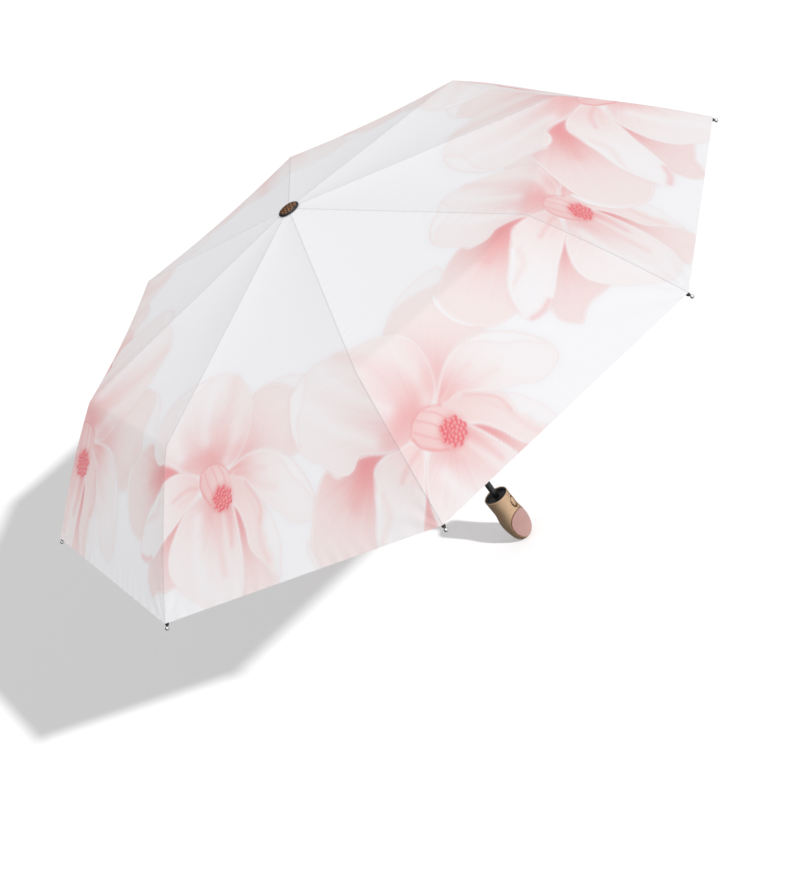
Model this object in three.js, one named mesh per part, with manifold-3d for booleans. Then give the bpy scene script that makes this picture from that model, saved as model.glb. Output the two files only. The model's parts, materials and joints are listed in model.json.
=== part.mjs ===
// Folding umbrella: eight ribs in three folds, three telescoping tubes and a push-button handle.
// Millimetres, +Z up the shaft, +X along the first rib. The origin is on the shaft's axis in the middle of
// the handle. The push button faces the middle of the gore beside the first rib.
// Everything is drawn open: canopy spread, shaft pulled out, button out.

import * as THREE from 'three';
import { mergeVertices } from 'three/addons/utils/BufferGeometryUtils.js';
import Module from 'manifold-3d';

const wasm = await Module();
wasm.setup();

// ---- driving dimensions ------------------------------------------------------------------------

const GAP = 0.3; // clearance between neighbouring pieces
const ARMS = 8;

const HANDLE_LENGTH = 76;
const HANDLE_TURN = -Math.PI / ARMS; // the way the button faces, from the first rib
const RIM_Z = HANDLE_LENGTH / 2;
const APEX_Z = RIM_Z + 495; // where the fabric's peak would be

// shaft tubes, from the handle up: each slides into the next one
const TUBE_WALL = 0.6;
const LOWER_TUBE_R = 4.25;
const MIDDLE_TUBE_R = LOWER_TUBE_R + GAP + TUBE_WALL;
const UPPER_TUBE_R = MIDDLE_TUBE_R + GAP + TUBE_WALL;
const TUBE_TRAVEL = 137; // each of the two slides
const LOWER_TUBE_FOOT_Z = -12;
const LOWER_TUBE_TOP_Z = 203;
const MIDDLE_TUBE_FOOT_Z = RIM_Z + 3 + TUBE_TRAVEL;
const MIDDLE_TUBE_LENGTH = 161;
const UPPER_TUBE_FOOT_Z = RIM_Z + 2 + 2 * TUBE_TRAVEL;

// canopy and ribs, measured from the apex in the vertical plane through one rib
const TOP_SLOPE = THREE.MathUtils.degToRad(11.2); // inner and middle ribs, below horizontal
const SKIRT_SLOPE = THREE.MathUtils.degToRad(38.9); // outer rib where it starts
const SKIRT_BEND = THREE.MathUtils.degToRad(7.4); // how much the outer rib curves to its tip
const HUB_PIVOT_R = 10;
const HUB_PIVOT_Z = APEX_Z - 8.2;
const INNER_RIB = 167; // pivot to pivot
const MIDDLE_RIB = 169.4;
const OUTER_RIB = 198.1; // along its curve
const PIVOT_OFFSET = 1.9; // folding pivots stand this far from a rib's centre line

const RIB_HALF_WIDTH = 1.9;
const RIB_HALF_HEIGHT = 1.4;
const RIB_WALL = 0.6;
const LUG_HALF_WIDTH = 0.9;
const EYE_R = 1.6;
const EYE_HOLE_R = 0.85;
const PIN_R = 0.5;
const ROD_R = 1.3;

const STRETCHER = 95; // pivot to pivot
const STRETCHER_AT = 86; // along the inner rib, from the hub pivot
const STRETCHER_HALF_WIDTH = 2.9;

const FABRIC = 0.6; // thickness of the canopy solid
const FABRIC_OVER_RIB = 3.9; // from a rib's centre line to the fabric's underside
const FABRIC_OVER_TIP = 2.5;
const FABRIC_SAG = 5; // how far a gore hangs in, half way between two ribs

const CAP_R = 14;
const FLANGE_R = 12.8; // hub and runner

const BUTTON_Z = RIM_Z - 18;
const BUTTON_HALF_WIDTH = 5.2;
const BUTTON_HALF_HEIGHT = 7.4;
const BUTTON_FACE_X = 18.6; // 2 proud of the handle
const BUTTON_DOME_R = 14;
const BUTTON_TRAVEL = 2.5;
const POCKET_FLOOR_X = 9.5;
const PAD_THICKNESS = 1.6;

// ---- materials ---------------------------------------------------------------------------------

function finish(color, roughness, metalness) {
  return () => new THREE.MeshStandardMaterial({ color, roughness, metalness });
}
const champagne = finish(0xc9a585, 0.35, 0.8);
const blackPlastic = finish(0x1b1a1c, 0.45, 0);
const blackPaint = finish(0x161617, 0.35, 0.3);
const pinkRubber = finish(0xdcb8b4, 0.6, 0);
const ribSteel = finish(0x2b2b2e, 0.4, 0.6);
const tipSteel = finish(0xcfd0d4, 0.2, 1);
const whiteCloth = finish(0xeeeef2, 0.85, 0);

// ---- helpers -----------------------------------------------------------------------------------

// A closed geometry as a solid that can be joined and cut.
function solid(geometry) {
  const bare = geometry.clone();
  bare.deleteAttribute('normal');
  bare.deleteAttribute('uv');
  const merged = mergeVertices(bare, 1e-4);
  return new wasm.Manifold(new wasm.Mesh({
    numProp: 3,
    vertProperties: new Float32Array(merged.attributes.position.array),
    triVerts: new Uint32Array(merged.index.array),
  }));
}

function toGeometry(body) {
  const mesh = body.getMesh();
  const geometry = new THREE.BufferGeometry();
  geometry.setAttribute('position', new THREE.BufferAttribute(new Float32Array(mesh.vertProperties), 3));
  geometry.setIndex(new THREE.BufferAttribute(new Uint32Array(mesh.triVerts), 1));
  geometry.computeVertexNormals();
  return geometry;
}

function piece(name, shape, material) {
  const geometry = shape.isBufferGeometry ? shape : toGeometry(shape);
  const mesh = new THREE.Mesh(geometry, material());
  mesh.name = name;
  return mesh;
}

// A profile of [radius, z] points turned round the Z axis.
function turned(profile, sides = 24) {
  const points = profile.map(([r, z]) => new THREE.Vector2(r, z));
  return new THREE.LatheGeometry(points, sides).rotateX(Math.PI / 2);
}

// A closed [radius, z] outline round the Z axis that stays off the axis.
function ring(outline, sides = 24) {
  return turned([...outline, outline[0]], sides);
}

function tube(outer, inner, low, high, sides = 24) {
  return ring([[inner, low], [outer, low], [outer, high], [inner, high]], sides);
}

function box(x0, x1, y0, y1, z0, z1) {
  return new THREE.BoxGeometry(x1 - x0, y1 - y0, z1 - z0)
    .translate((x0 + x1) / 2, (y0 + y1) / 2, (z0 + z1) / 2);
}

// A cylinder along Y through (x, z), from y0 to y1.
function crossPin(x, z, radius, y0, y1, sides = 12) {
  return new THREE.CylinderGeometry(radius, radius, y1 - y0, sides)
    .translate(x, (y0 + y1) / 2, z);
}

function joined(geometries) {
  return geometries.map(solid).reduce((sum, part) => sum.add(part));
}

function polar(length, slope) {
  return new THREE.Vector2(length * Math.cos(slope), -length * Math.sin(slope));
}

// ---- the rib line, in the plane of one arm ------------------------------------------------------

const along = polar(1, TOP_SLOPE);
const across = new THREE.Vector2(-along.y, along.x); // towards the fabric
const hubPivot = new THREE.Vector2(HUB_PIVOT_R, HUB_PIVOT_Z);
const elbowPivot = hubPivot.clone().addScaledVector(along, INNER_RIB).addScaledVector(across, PIVOT_OFFSET);
const kneePivot = elbowPivot.clone().addScaledVector(along, MIDDLE_RIB)
  .addScaledVector(across, -2 * PIVOT_OFFSET);
const stretcherEnd = hubPivot.clone().addScaledVector(along, STRETCHER_AT);
const stretcherRun = stretcherEnd.x - HUB_PIVOT_R;
const stretcherRise = Math.sqrt(STRETCHER ** 2 - stretcherRun ** 2);
const runnerPivot = new THREE.Vector2(HUB_PIVOT_R, stretcherEnd.y - stretcherRise);

// The outer rib's centre line in its own frame: it leaves along +X and bends down evenly.
function outerRibPoint(distance) {
  const bendRadius = OUTER_RIB / SKIRT_BEND;
  const turn = distance / bendRadius;
  const x = bendRadius * Math.sin(turn);
  const z = PIVOT_OFFSET - bendRadius * (1 - Math.cos(turn));
  return { x, z, slope: turn };
}

// The fabric's underside along a rib: t runs from 0 at the hub to 1 at the tip.
const TOP_LENGTH = INNER_RIB + MIDDLE_RIB;
const TOP_SHARE = TOP_LENGTH / (TOP_LENGTH + OUTER_RIB);
function fabricLine(t) {
  if (t <= TOP_SHARE) {
    const distance = (t / TOP_SHARE) * TOP_LENGTH;
    const point = hubPivot.clone().addScaledVector(along, distance).addScaledVector(across, FABRIC_OVER_RIB);
    return { x: point.x, z: point.y, slope: TOP_SLOPE };
  }
  const share = (t - TOP_SHARE) / (1 - TOP_SHARE);
  const rod = outerRibPoint(share * OUTER_RIB);
  const fromKnee = new THREE.Vector2(rod.x, rod.z).rotateAround(new THREE.Vector2(), -SKIRT_SLOPE);
  const slope = SKIRT_SLOPE + rod.slope;
  const lift = THREE.MathUtils.lerp(FABRIC_OVER_RIB, FABRIC_OVER_TIP, share);
  return {
    x: kneePivot.x + fromKnee.x + lift * Math.sin(slope),
    z: kneePivot.y + fromKnee.y + lift * Math.cos(slope),
    slope,
  };
}

// ---- handle ------------------------------------------------------------------------------------

// The handle is a stack of circles: [distance below the rim, radius, forward shift].
const HANDLE_RINGS = [
  [0, 17, 0], [10, 16.7, 0.3], [20, 16.6, 0.8], [27, 16.8, 1.05], [34, 17.8, 1.2], [41, 18.7, 1.4],
  [48, 18.7, 1.7], [54, 17.9, 1.95], [60, 16.7, 2], [66, 14.9, 1.8], [71, 12.1, 1.4], [74.4, 9.2, 0.9],
  [76, 6.6, 0.5],
];

function handleForm(shrink, sides = 40) {
  const rings = HANDLE_RINGS.map(([drop, radius]) => [radius - shrink, RIM_Z - drop]);
  rings[rings.length - 1][1] += shrink;
  const profile = [[0, rings.at(-1)[1]], ...rings.reverse(), [0, RIM_Z]];
  const form = turned(profile, sides);
  const spots = form.attributes.position;
  for (let i = 0; i < spots.count; i += 1) {
    spots.setX(i, spots.getX(i) + forwardShift(RIM_Z - spots.getZ(i)));
  }
  return solid(form);
}

function forwardShift(drop) {
  const next = HANDLE_RINGS.findIndex((entry) => entry[0] >= drop - 1e-3);
  if (next <= 0) {
    return HANDLE_RINGS[0][2];
  }
  const [drop0, , shift0] = HANDLE_RINGS[next - 1];
  const [drop1, , shift1] = HANDLE_RINGS[next];
  return THREE.MathUtils.mapLinear(drop, drop0, drop1, shift0, shift1);
}

// An upright oval that runs forward along +X from x0 to x1.
function ovalBar(halfWidth, halfHeight, centreZ, x0, x1, sides = 32) {
  return solid(new THREE.CylinderGeometry(1, 1, x1 - x0, sides)
    .rotateZ(-Math.PI / 2)
    .scale(1, halfHeight, halfWidth)
    .rotateX(Math.PI / 2)
    .translate((x0 + x1) / 2, 0, centreZ));
}

const LINER_R = 15.4;
const LINER_DEPTH = 7;
const PAD_TOP_DROP = 35;
const PAD_FOOT_DROP = HANDLE_LENGTH - 1;
const padCentreZ = RIM_Z - (PAD_TOP_DROP + PAD_FOOT_DROP) / 2;
const padHalfHeight = (PAD_FOOT_DROP - PAD_TOP_DROP) / 2;
const PAD_HALF_WIDTH = 18.1;
const PAD_BACK_X = 3;

function makeHandle() {
  const whole = handleForm(0);
  const recess = solid(turned([[0, RIM_Z - LINER_DEPTH], [LINER_R + GAP, RIM_Z - LINER_DEPTH],
    [LINER_R + GAP, RIM_Z + 1], [0, RIM_Z + 1]], 40));
  const bore = solid(turned([[0, LOWER_TUBE_FOOT_Z - GAP], [LOWER_TUBE_R + GAP, LOWER_TUBE_FOOT_Z - GAP],
    [LOWER_TUBE_R + GAP, RIM_Z], [0, RIM_Z]]));
  const pocket = ovalBar(BUTTON_HALF_WIDTH + GAP, BUTTON_HALF_HEIGHT + GAP, BUTTON_Z, POCKET_FLOOR_X, 30);
  const padHole = ovalBar(PAD_HALF_WIDTH + GAP, padHalfHeight + GAP, padCentreZ, PAD_BACK_X - GAP, 40)
    .subtract(handleForm(PAD_THICKNESS + GAP));
  const shell = whole.subtract(recess).subtract(bore).subtract(pocket).subtract(padHole);
  const pad = whole.intersect(ovalBar(PAD_HALF_WIDTH, padHalfHeight, padCentreZ, PAD_BACK_X, 40))
    .subtract(handleForm(PAD_THICKNESS));
  const liner = ring([[LOWER_TUBE_R + GAP, RIM_Z - LINER_DEPTH + GAP], [LINER_R, RIM_Z - LINER_DEPTH + GAP],
    [LINER_R, RIM_Z - 0.8], [LINER_R - 1.2, RIM_Z - 0.8], [LINER_R - 2.4, RIM_Z - 4.4],
    [7.4, RIM_Z - 4.4], [6.6, RIM_Z - 2.6], [LOWER_TUBE_R + GAP, RIM_Z - 2.6]], 40);
  return [
    piece('handle_shell', shell, champagne),
    piece('grip_pad', pad, pinkRubber),
    piece('handle_liner', liner, blackPlastic),
  ];
}

// The button's face is a shallow dome, cut from a ball, and stands a little proud of the handle.
function makeButton() {
  const bulge = new THREE.SphereGeometry(BUTTON_DOME_R, 40, 24)
    .translate(BUTTON_FACE_X - BUTTON_DOME_R, 0, BUTTON_Z);
  const stemFoot = POCKET_FLOOR_X + BUTTON_TRAVEL + GAP;
  const stem = ovalBar(BUTTON_HALF_WIDTH, BUTTON_HALF_HEIGHT, BUTTON_Z, stemFoot, 30);
  return piece('push_button', stem.intersect(solid(bulge)), champagne);
}

// ---- shaft, hub, cap and runner ----------------------------------------------------------------

function makeTube(name, outer, foot, top) {
  return piece(name, tube(outer, outer - TUBE_WALL, foot, top), blackPaint);
}

// A flanged sleeve with one slot and one pin for each arm, in the flange at the pivots' height.
function notched(sleeve, flangeLow, flangeHigh, pivotZ) {
  const SLOT_HALF_WIDTH = LUG_HALF_WIDTH + 0.4;
  const SLOT_FROM_R = HUB_PIVOT_R - 2.2;
  const slot = box(SLOT_FROM_R, FLANGE_R + 1, -SLOT_HALF_WIDTH, SLOT_HALF_WIDTH,
    flangeLow - 1, flangeHigh + 1);
  const pin = crossPin(HUB_PIVOT_R, pivotZ, PIN_R, -SLOT_HALF_WIDTH - 0.6, SLOT_HALF_WIDTH + 0.6, 6);
  let body = sleeve;
  for (let arm = 0; arm < ARMS; arm += 1) {
    const turn = (arm * 2 * Math.PI) / ARMS;
    body = body.subtract(solid(slot.clone().rotateZ(turn)));
    body = body.add(solid(pin.clone().rotateZ(turn)));
  }
  return body;
}

function makeHub() {
  const top = APEX_Z - 5.6;
  const flangeLow = HUB_PIVOT_Z - 2.8;
  const foot = HUB_PIVOT_Z - 13;
  const sleeveR = UPPER_TUBE_R + GAP + 1.2;
  const boreTop = top - 2.6;
  const body = solid(ring([[UPPER_TUBE_R + GAP, foot], [sleeveR, foot], [sleeveR, flangeLow],
    [FLANGE_R, flangeLow], [FLANGE_R, top], [3.5, top], [3.5, boreTop], [UPPER_TUBE_R + GAP, boreTop]], 24));
  return piece('top_hub', notched(body, flangeLow, top, HUB_PIVOT_Z), blackPlastic);
}

function makeCap() {
  const under = (r) => APEX_Z - 0.8 - r * Math.tan(TOP_SLOPE);
  const POST_R = 3.2;
  return piece('top_cap', turned([[0, APEX_Z - 8], [POST_R, APEX_Z - 8], [POST_R, under(POST_R)],
    [CAP_R - 0.4, under(CAP_R - 0.4)], [CAP_R, APEX_Z - 2.7], [CAP_R - 0.3, APEX_Z - 2],
    [CAP_R - 1.6, APEX_Z - 1.1], [10.4, APEX_Z - 0.3], [7.4, APEX_Z + 0.5],
    [3.8, APEX_Z + 1], [0, APEX_Z + 1.2]], 32),
  blackPlastic);
}

function makeRunner() {
  const flangeHigh = runnerPivot.y + 2.8;
  const flangeLow = runnerPivot.y - 2.8;
  const foot = runnerPivot.y - 24;
  const inner = UPPER_TUBE_R + GAP;
  const body = solid(ring([[inner, foot], [9.6, foot], [9.6, foot + 3], [8.3, foot + 5],
    [8.3, flangeLow - 3], [9.4, flangeLow], [FLANGE_R, flangeLow], [FLANGE_R, flangeHigh],
    [7.6, flangeHigh], [7.6, flangeHigh + 4], [inner, flangeHigh + 4]], 24));
  return piece('runner', notched(body, flangeLow, flangeHigh, runnerPivot.y), blackPlastic);
}

// ---- arms --------------------------------------------------------------------------------------

// An eye on a flat lug at the origin, with a neck that reaches x = neck at height z.
function lugEnd(neck, z) {
  const eye = crossPin(0, 0, EYE_R, -LUG_HALF_WIDTH, LUG_HALF_WIDTH, 10);
  const NECK_HALF_HEIGHT = 1.1;
  const arm = new THREE.Shape([
    new THREE.Vector2(0, -EYE_R), new THREE.Vector2(neck, z - NECK_HALF_HEIGHT),
    new THREE.Vector2(neck, z + NECK_HALF_HEIGHT), new THREE.Vector2(0, EYE_R),
  ]);
  const plate = new THREE.ExtrudeGeometry(arm, { depth: 2 * LUG_HALF_WIDTH, bevelEnabled: false })
    .rotateX(Math.PI / 2)
    .translate(0, LUG_HALF_WIDTH, 0);
  return joined([eye, plate]).subtract(solid(crossPin(0, 0, EYE_HOLE_R, -3, 3, 8)));
}

// A channel, open below, from x0 to x1 round the line at height z.
function channel(x0, x1, z, halfWidth = RIB_HALF_WIDTH, wall = RIB_WALL) {
  const outer = solid(box(x0, x1, -halfWidth, halfWidth, z - RIB_HALF_HEIGHT, z + RIB_HALF_HEIGHT));
  const inside = halfWidth - wall;
  const hollow = solid(box(x0 + 2, x1 - 2, -inside, inside, z - 5, z + RIB_HALF_HEIGHT - wall));
  return outer.subtract(hollow);
}

// Two cheeks with a riveted pin between them at (x, pivotZ), reaching back to x = root at height z.
function forkEnd(x, pivotZ, root, z) {
  const inner = RIB_HALF_WIDTH - RIB_WALL;
  const low = Math.min(pivotZ - EYE_R, z - RIB_HALF_HEIGHT);
  const high = Math.max(pivotZ + EYE_R, z + RIB_HALF_HEIGHT);
  const outline = new THREE.Shape([
    new THREE.Vector2(root, z - RIB_HALF_HEIGHT), new THREE.Vector2(x - EYE_R, low),
    new THREE.Vector2(x + EYE_R * 0.6, low), new THREE.Vector2(x + EYE_R, low + 0.8),
    new THREE.Vector2(x + EYE_R, high - 0.8), new THREE.Vector2(x + EYE_R * 0.6, high),
    new THREE.Vector2(x - EYE_R, high), new THREE.Vector2(root, z + RIB_HALF_HEIGHT),
  ]);
  const cheek = (y) => new THREE.ExtrudeGeometry(outline, { depth: RIB_WALL, bevelEnabled: false })
    .rotateX(Math.PI / 2)
    .translate(0, y, 0);
  const pin = crossPin(x, pivotZ, PIN_R, -RIB_HALF_WIDTH - 0.3, RIB_HALF_WIDTH + 0.3, 6);
  const head = crossPin(x, pivotZ, 1, RIB_HALF_WIDTH - 0.1, RIB_HALF_WIDTH + 0.35, 8);
  const otherHead = head.clone().translate(0, -2 * RIB_HALF_WIDTH - 0.25, 0);
  return joined([cheek(RIB_HALF_WIDTH), cheek(-inner), pin, head, otherHead]);
}

const NECK = 5; // where a rib's channel starts, from its pivot
const FORK_ROOT = 6; // how far back a fork's cheeks reach into the channel

function innerRib() {
  const bar = channel(NECK - 0.5, INNER_RIB - 4.4, 0);
  return lugEnd(NECK + 1, 0).add(bar).add(forkEnd(INNER_RIB, PIVOT_OFFSET, INNER_RIB - FORK_ROOT, 0));
}

function middleRib() {
  const line = -PIVOT_OFFSET;
  const bar = channel(NECK - 0.5, MIDDLE_RIB - 4.4, line);
  return lugEnd(NECK + 1, line).add(bar)
    .add(forkEnd(MIDDLE_RIB, line - PIVOT_OFFSET, MIDDLE_RIB - FORK_ROOT, line));
}

// A slim rod with a flat lug at its root, along the outer rib's curve.
function outerRib() {
  const points = [];
  const STEPS = 8;
  for (let step = 0; step <= STEPS; step += 1) {
    const spot = outerRibPoint(NECK - 1 + ((OUTER_RIB - NECK + 1) * step) / STEPS);
    points.push(new THREE.Vector3(spot.x, 0, spot.z));
  }
  const section = new THREE.Shape();
  section.absarc(0, 0, ROD_R, 0, 2 * Math.PI);
  const rod = new THREE.ExtrudeGeometry(section, {
    steps: STEPS, curveSegments: 4, extrudePath: new THREE.CatmullRomCurve3(points),
  });
  return lugEnd(NECK + 1, PIVOT_OFFSET).add(solid(rod));
}

// A twin bar: two cheeks that pass either side of the inner rib, tied by a web near the runner.
function stretcher() {
  const inner = STRETCHER_HALF_WIDTH - RIB_WALL;
  const bar = (y0, y1) => box(NECK - 0.5, STRETCHER, y0, y1, -1.2, 1.2);
  const web = box(NECK - 0.5, STRETCHER * 0.5, -STRETCHER_HALF_WIDTH, STRETCHER_HALF_WIDTH, -1.2, -0.6);
  const root = box(NECK - 0.5, NECK + 3, -STRETCHER_HALF_WIDTH, STRETCHER_HALF_WIDTH, -1.2, 1.2);
  const headY = STRETCHER_HALF_WIDTH;
  const ends = [-1, 1].flatMap((side) => [
    crossPin(STRETCHER, 0, 1.7, side > 0 ? inner : -headY, side > 0 ? headY : -inner, 8),
    crossPin(STRETCHER, 0, 1,
      side > 0 ? headY - 0.1 : -headY - 0.35, side > 0 ? headY + 0.35 : -headY + 0.1, 8),
  ]);
  return lugEnd(NECK + 1, 0)
    .add(joined([bar(inner, STRETCHER_HALF_WIDTH), bar(-STRETCHER_HALF_WIDTH, -inner), web, root, ...ends]));
}

// The tip: a dark bead's neck that the fabric is sewn to and a ball, on the rod's end.
const TIP_SOCKET = 1.6;
function ribTip() {
  const BALL_R = 2.4;
  const NECK_R = 2;
  const ballZ = 5.4;
  const profile = [[0, GAP], [ROD_R + GAP, GAP], [ROD_R + GAP, -TIP_SOCKET], [NECK_R, -TIP_SOCKET],
    [NECK_R + 0.3, 0.6], [1.5, 2.6]];
  const STEPS = 6;
  for (let step = 1; step <= STEPS; step += 1) {
    const angle = THREE.MathUtils.degToRad(-60 + (150 * step) / STEPS);
    profile.push([Math.max(0, BALL_R * Math.cos(angle)), ballZ + BALL_R * Math.sin(angle)]);
  }
  profile.at(-1)[0] = 0;
  return turned(profile, 10);
}

function makeArm(number) {
  const arm = new THREE.Group();
  arm.rotation.z = (number * 2 * Math.PI) / ARMS;
  const place = (mesh, point, slope) => {
    mesh.position.set(point.x, 0, point.y);
    mesh.rotation.y = slope;
    arm.add(mesh);
    return mesh;
  };
  place(piece(`inner_rib_${number}`, innerRib(), ribSteel), hubPivot, TOP_SLOPE);
  place(piece(`middle_rib_${number}`, middleRib(), ribSteel), elbowPivot, TOP_SLOPE);
  place(piece(`outer_rib_${number}`, outerRib(), ribSteel), kneePivot, SKIRT_SLOPE);
  const rise = -Math.atan2(stretcherRise, stretcherRun);
  place(piece(`stretcher_${number}`, stretcher(), ribSteel), runnerPivot, rise);

  const rodEnd = outerRibPoint(OUTER_RIB);
  const tipHolder = new THREE.Group();
  tipHolder.position.set(kneePivot.x, 0, kneePivot.y);
  tipHolder.rotation.y = SKIRT_SLOPE;
  const tip = piece(`rib_tip_${number}`, ribTip(), tipSteel);
  tip.position.set(rodEnd.x, 0, rodEnd.z);
  tip.rotation.y = rodEnd.slope + Math.PI / 2;
  tipHolder.add(tip);
  arm.add(tipHolder);
  return arm;
}

// ---- canopy ------------------------------------------------------------------------------------

// One gore: a thin curved sheet between two neighbouring ribs, straight across at its hem.
function makeGore(number) {
  const TOP_ROWS = 5;
  const SKIRT_ROWS = 5;
  const WIDTH_STEPS = 4;
  const sector = (2 * Math.PI) / ARMS;
  const rows = [];
  for (let i = 0; i <= TOP_ROWS; i += 1) {
    rows.push((TOP_SHARE * i) / TOP_ROWS);
  }
  for (let i = 0; i <= SKIRT_ROWS; i += 1) {
    rows.push(THREE.MathUtils.lerp(TOP_SHARE + 1e-6, 1, i / SKIRT_ROWS));
  }
  const LENGTH_STEPS = rows.length - 1;
  const positions = [];
  const index = [];
  for (const side of [0, 1]) {
    for (const t of rows) {
      const line = fabricLine(t);
      const radius = line.x + side * FABRIC * Math.sin(line.slope);
      const z = line.z + side * FABRIC * Math.cos(line.slope);
      const halfChord = radius * Math.sin(sector / 2);
      const middleRadius = radius * Math.cos(sector / 2);
      const inset = (GAP / 2) / Math.cos(sector / 2) / halfChord;
      for (let j = 0; j <= WIDTH_STEPS; j += 1) {
        const across01 = THREE.MathUtils.lerp(inset - 1, 1 - inset, j / WIDTH_STEPS);
        const hang = FABRIC_SAG * Math.sin(Math.PI * Math.min(1, t * 1.1)) * (1 - across01 ** 2);
        positions.push(
          middleRadius - hang * Math.sin(line.slope),
          across01 * halfChord,
          z - hang * Math.cos(line.slope),
        );
      }
    }
  }
  const columns = WIDTH_STEPS + 1;
  const at = (side, i, j) => side * rows.length * columns + i * columns + j;
  const quad = (a, b, c, d) => index.push(a, b, c, a, c, d);
  for (let i = 0; i < LENGTH_STEPS; i += 1) {
    for (let j = 0; j < WIDTH_STEPS; j += 1) {
      quad(at(1, i, j), at(1, i + 1, j), at(1, i + 1, j + 1), at(1, i, j + 1));
      quad(at(0, i, j), at(0, i, j + 1), at(0, i + 1, j + 1), at(0, i + 1, j));
    }
    quad(at(0, i, 0), at(0, i + 1, 0), at(1, i + 1, 0), at(1, i, 0));
    quad(at(1, i, WIDTH_STEPS), at(1, i + 1, WIDTH_STEPS), at(0, i + 1, WIDTH_STEPS), at(0, i, WIDTH_STEPS));
  }
  for (let j = 0; j < WIDTH_STEPS; j += 1) {
    quad(at(1, 0, j), at(1, 0, j + 1), at(0, 0, j + 1), at(0, 0, j));
    quad(at(0, LENGTH_STEPS, j), at(0, LENGTH_STEPS, j + 1),
      at(1, LENGTH_STEPS, j + 1), at(1, LENGTH_STEPS, j));
  }
  const geometry = new THREE.BufferGeometry();
  geometry.setAttribute('position', new THREE.Float32BufferAttribute(positions, 3));
  geometry.setIndex(index);
  geometry.computeVertexNormals();
  const gore = piece(`canopy_gore_${number}`, geometry, whiteCloth);
  gore.rotation.z = (number + 0.5) * sector;
  return gore;
}

// ---- the umbrella ------------------------------------------------------------------------------

const umbrella = new THREE.Group();
for (const part of [...makeHandle(), makeButton()]) {
  part.rotation.z = HANDLE_TURN;
  umbrella.add(part);
}
umbrella.add(makeTube('shaft_lower_tube', LOWER_TUBE_R, LOWER_TUBE_FOOT_Z, LOWER_TUBE_TOP_Z));
umbrella.add(makeTube('shaft_middle_tube', MIDDLE_TUBE_R,
  MIDDLE_TUBE_FOOT_Z, MIDDLE_TUBE_FOOT_Z + MIDDLE_TUBE_LENGTH));
umbrella.add(makeTube('shaft_upper_tube', UPPER_TUBE_R, UPPER_TUBE_FOOT_Z, APEX_Z - 8.6));
umbrella.add(makeHub(), makeCap(), makeRunner());
for (let number = 0; number < ARMS; number += 1) {
  umbrella.add(makeArm(number));
  umbrella.add(makeGore(number));
}

export default umbrella;
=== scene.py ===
import json
import math

import bpy
import numpy as np
from bpy.props import FloatProperty, FloatVectorProperty, PointerProperty
from mathutils import Matrix, Vector


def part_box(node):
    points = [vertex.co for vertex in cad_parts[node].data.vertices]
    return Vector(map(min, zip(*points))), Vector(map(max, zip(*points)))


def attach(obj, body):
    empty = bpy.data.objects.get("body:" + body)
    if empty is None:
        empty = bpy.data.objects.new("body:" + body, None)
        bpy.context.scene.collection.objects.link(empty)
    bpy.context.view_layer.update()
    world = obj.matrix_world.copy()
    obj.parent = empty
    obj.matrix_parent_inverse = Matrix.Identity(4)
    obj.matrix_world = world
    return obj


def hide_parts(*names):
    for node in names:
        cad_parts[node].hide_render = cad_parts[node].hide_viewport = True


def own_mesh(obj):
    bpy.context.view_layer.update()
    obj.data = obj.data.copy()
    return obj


bl_info = {
    "name": "Folding umbrella",
    "version": (1, 0, 0),
    "blender": (4, 5, 0),
    "location": "View3D > Sidebar > Umbrella",
    "description": "Builds a folding umbrella's canopy, handle, fittings and studio round its packed frame",
    "category": "Add Mesh",
}

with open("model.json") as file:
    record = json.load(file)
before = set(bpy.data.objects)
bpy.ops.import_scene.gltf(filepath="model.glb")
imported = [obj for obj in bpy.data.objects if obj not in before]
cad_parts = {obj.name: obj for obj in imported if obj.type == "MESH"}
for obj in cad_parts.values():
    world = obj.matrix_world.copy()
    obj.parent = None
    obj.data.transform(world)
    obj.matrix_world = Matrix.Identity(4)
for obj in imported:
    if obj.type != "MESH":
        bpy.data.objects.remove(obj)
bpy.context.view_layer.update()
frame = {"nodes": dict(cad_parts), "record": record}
JOINTS = {joint["name"]: joint for joint in frame["record"]["behaviour"]["joints"]}
MM = 0.001
ARMS = 8
SECTOR = 2 * math.pi / ARMS

# ---- the rib line, from the frame's own pivots ---------------------------------------------------


def pivot(name):
    """A hinge of arm 0 as (distance from the shaft's axis, height)."""
    x, _, z = JOINTS[name]["pos_m"]
    return np.array([x, z])


HUB_PIVOT = pivot("hub_hinge_0")
KNEE_PIVOT = pivot("knee_hinge_0")
PIVOT_OFFSET = 1.9 * MM  # folding pivots stand this far from a rib's centre line
TOP_SLOPE = math.radians(11.2)
SKIRT_SLOPE = math.radians(38.9)
SKIRT_BEND = math.radians(7.4)
ALONG = np.array([math.cos(TOP_SLOPE), -math.sin(TOP_SLOPE)])
ACROSS = np.array([math.sin(TOP_SLOPE), math.cos(TOP_SLOPE)])
TOP_START = HUB_PIVOT[0] / math.cos(TOP_SLOPE)  # arc length from the peak to the hub's pivots
INNER_END = TOP_START + (pivot("elbow_hinge_0") - HUB_PIVOT) @ ALONG
TOP_END = TOP_START + (KNEE_PIVOT - HUB_PIVOT) @ ALONG
OUTER_RIB = 198.1 * MM
HEM = TOP_END + OUTER_RIB
FABRIC_LIFT = 4.35 * MM  # from a rib's centre line to the middle of the cloth
FABRIC_LIFT_AT_TIP = 2.95 * MM
FABRIC_SAG = 5 * MM
PEAK_Z = HUB_PIVOT[1] + 8.2 * MM
RIM_Z = 38 * MM
HANDLE_LENGTH = 76 * MM


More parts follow.
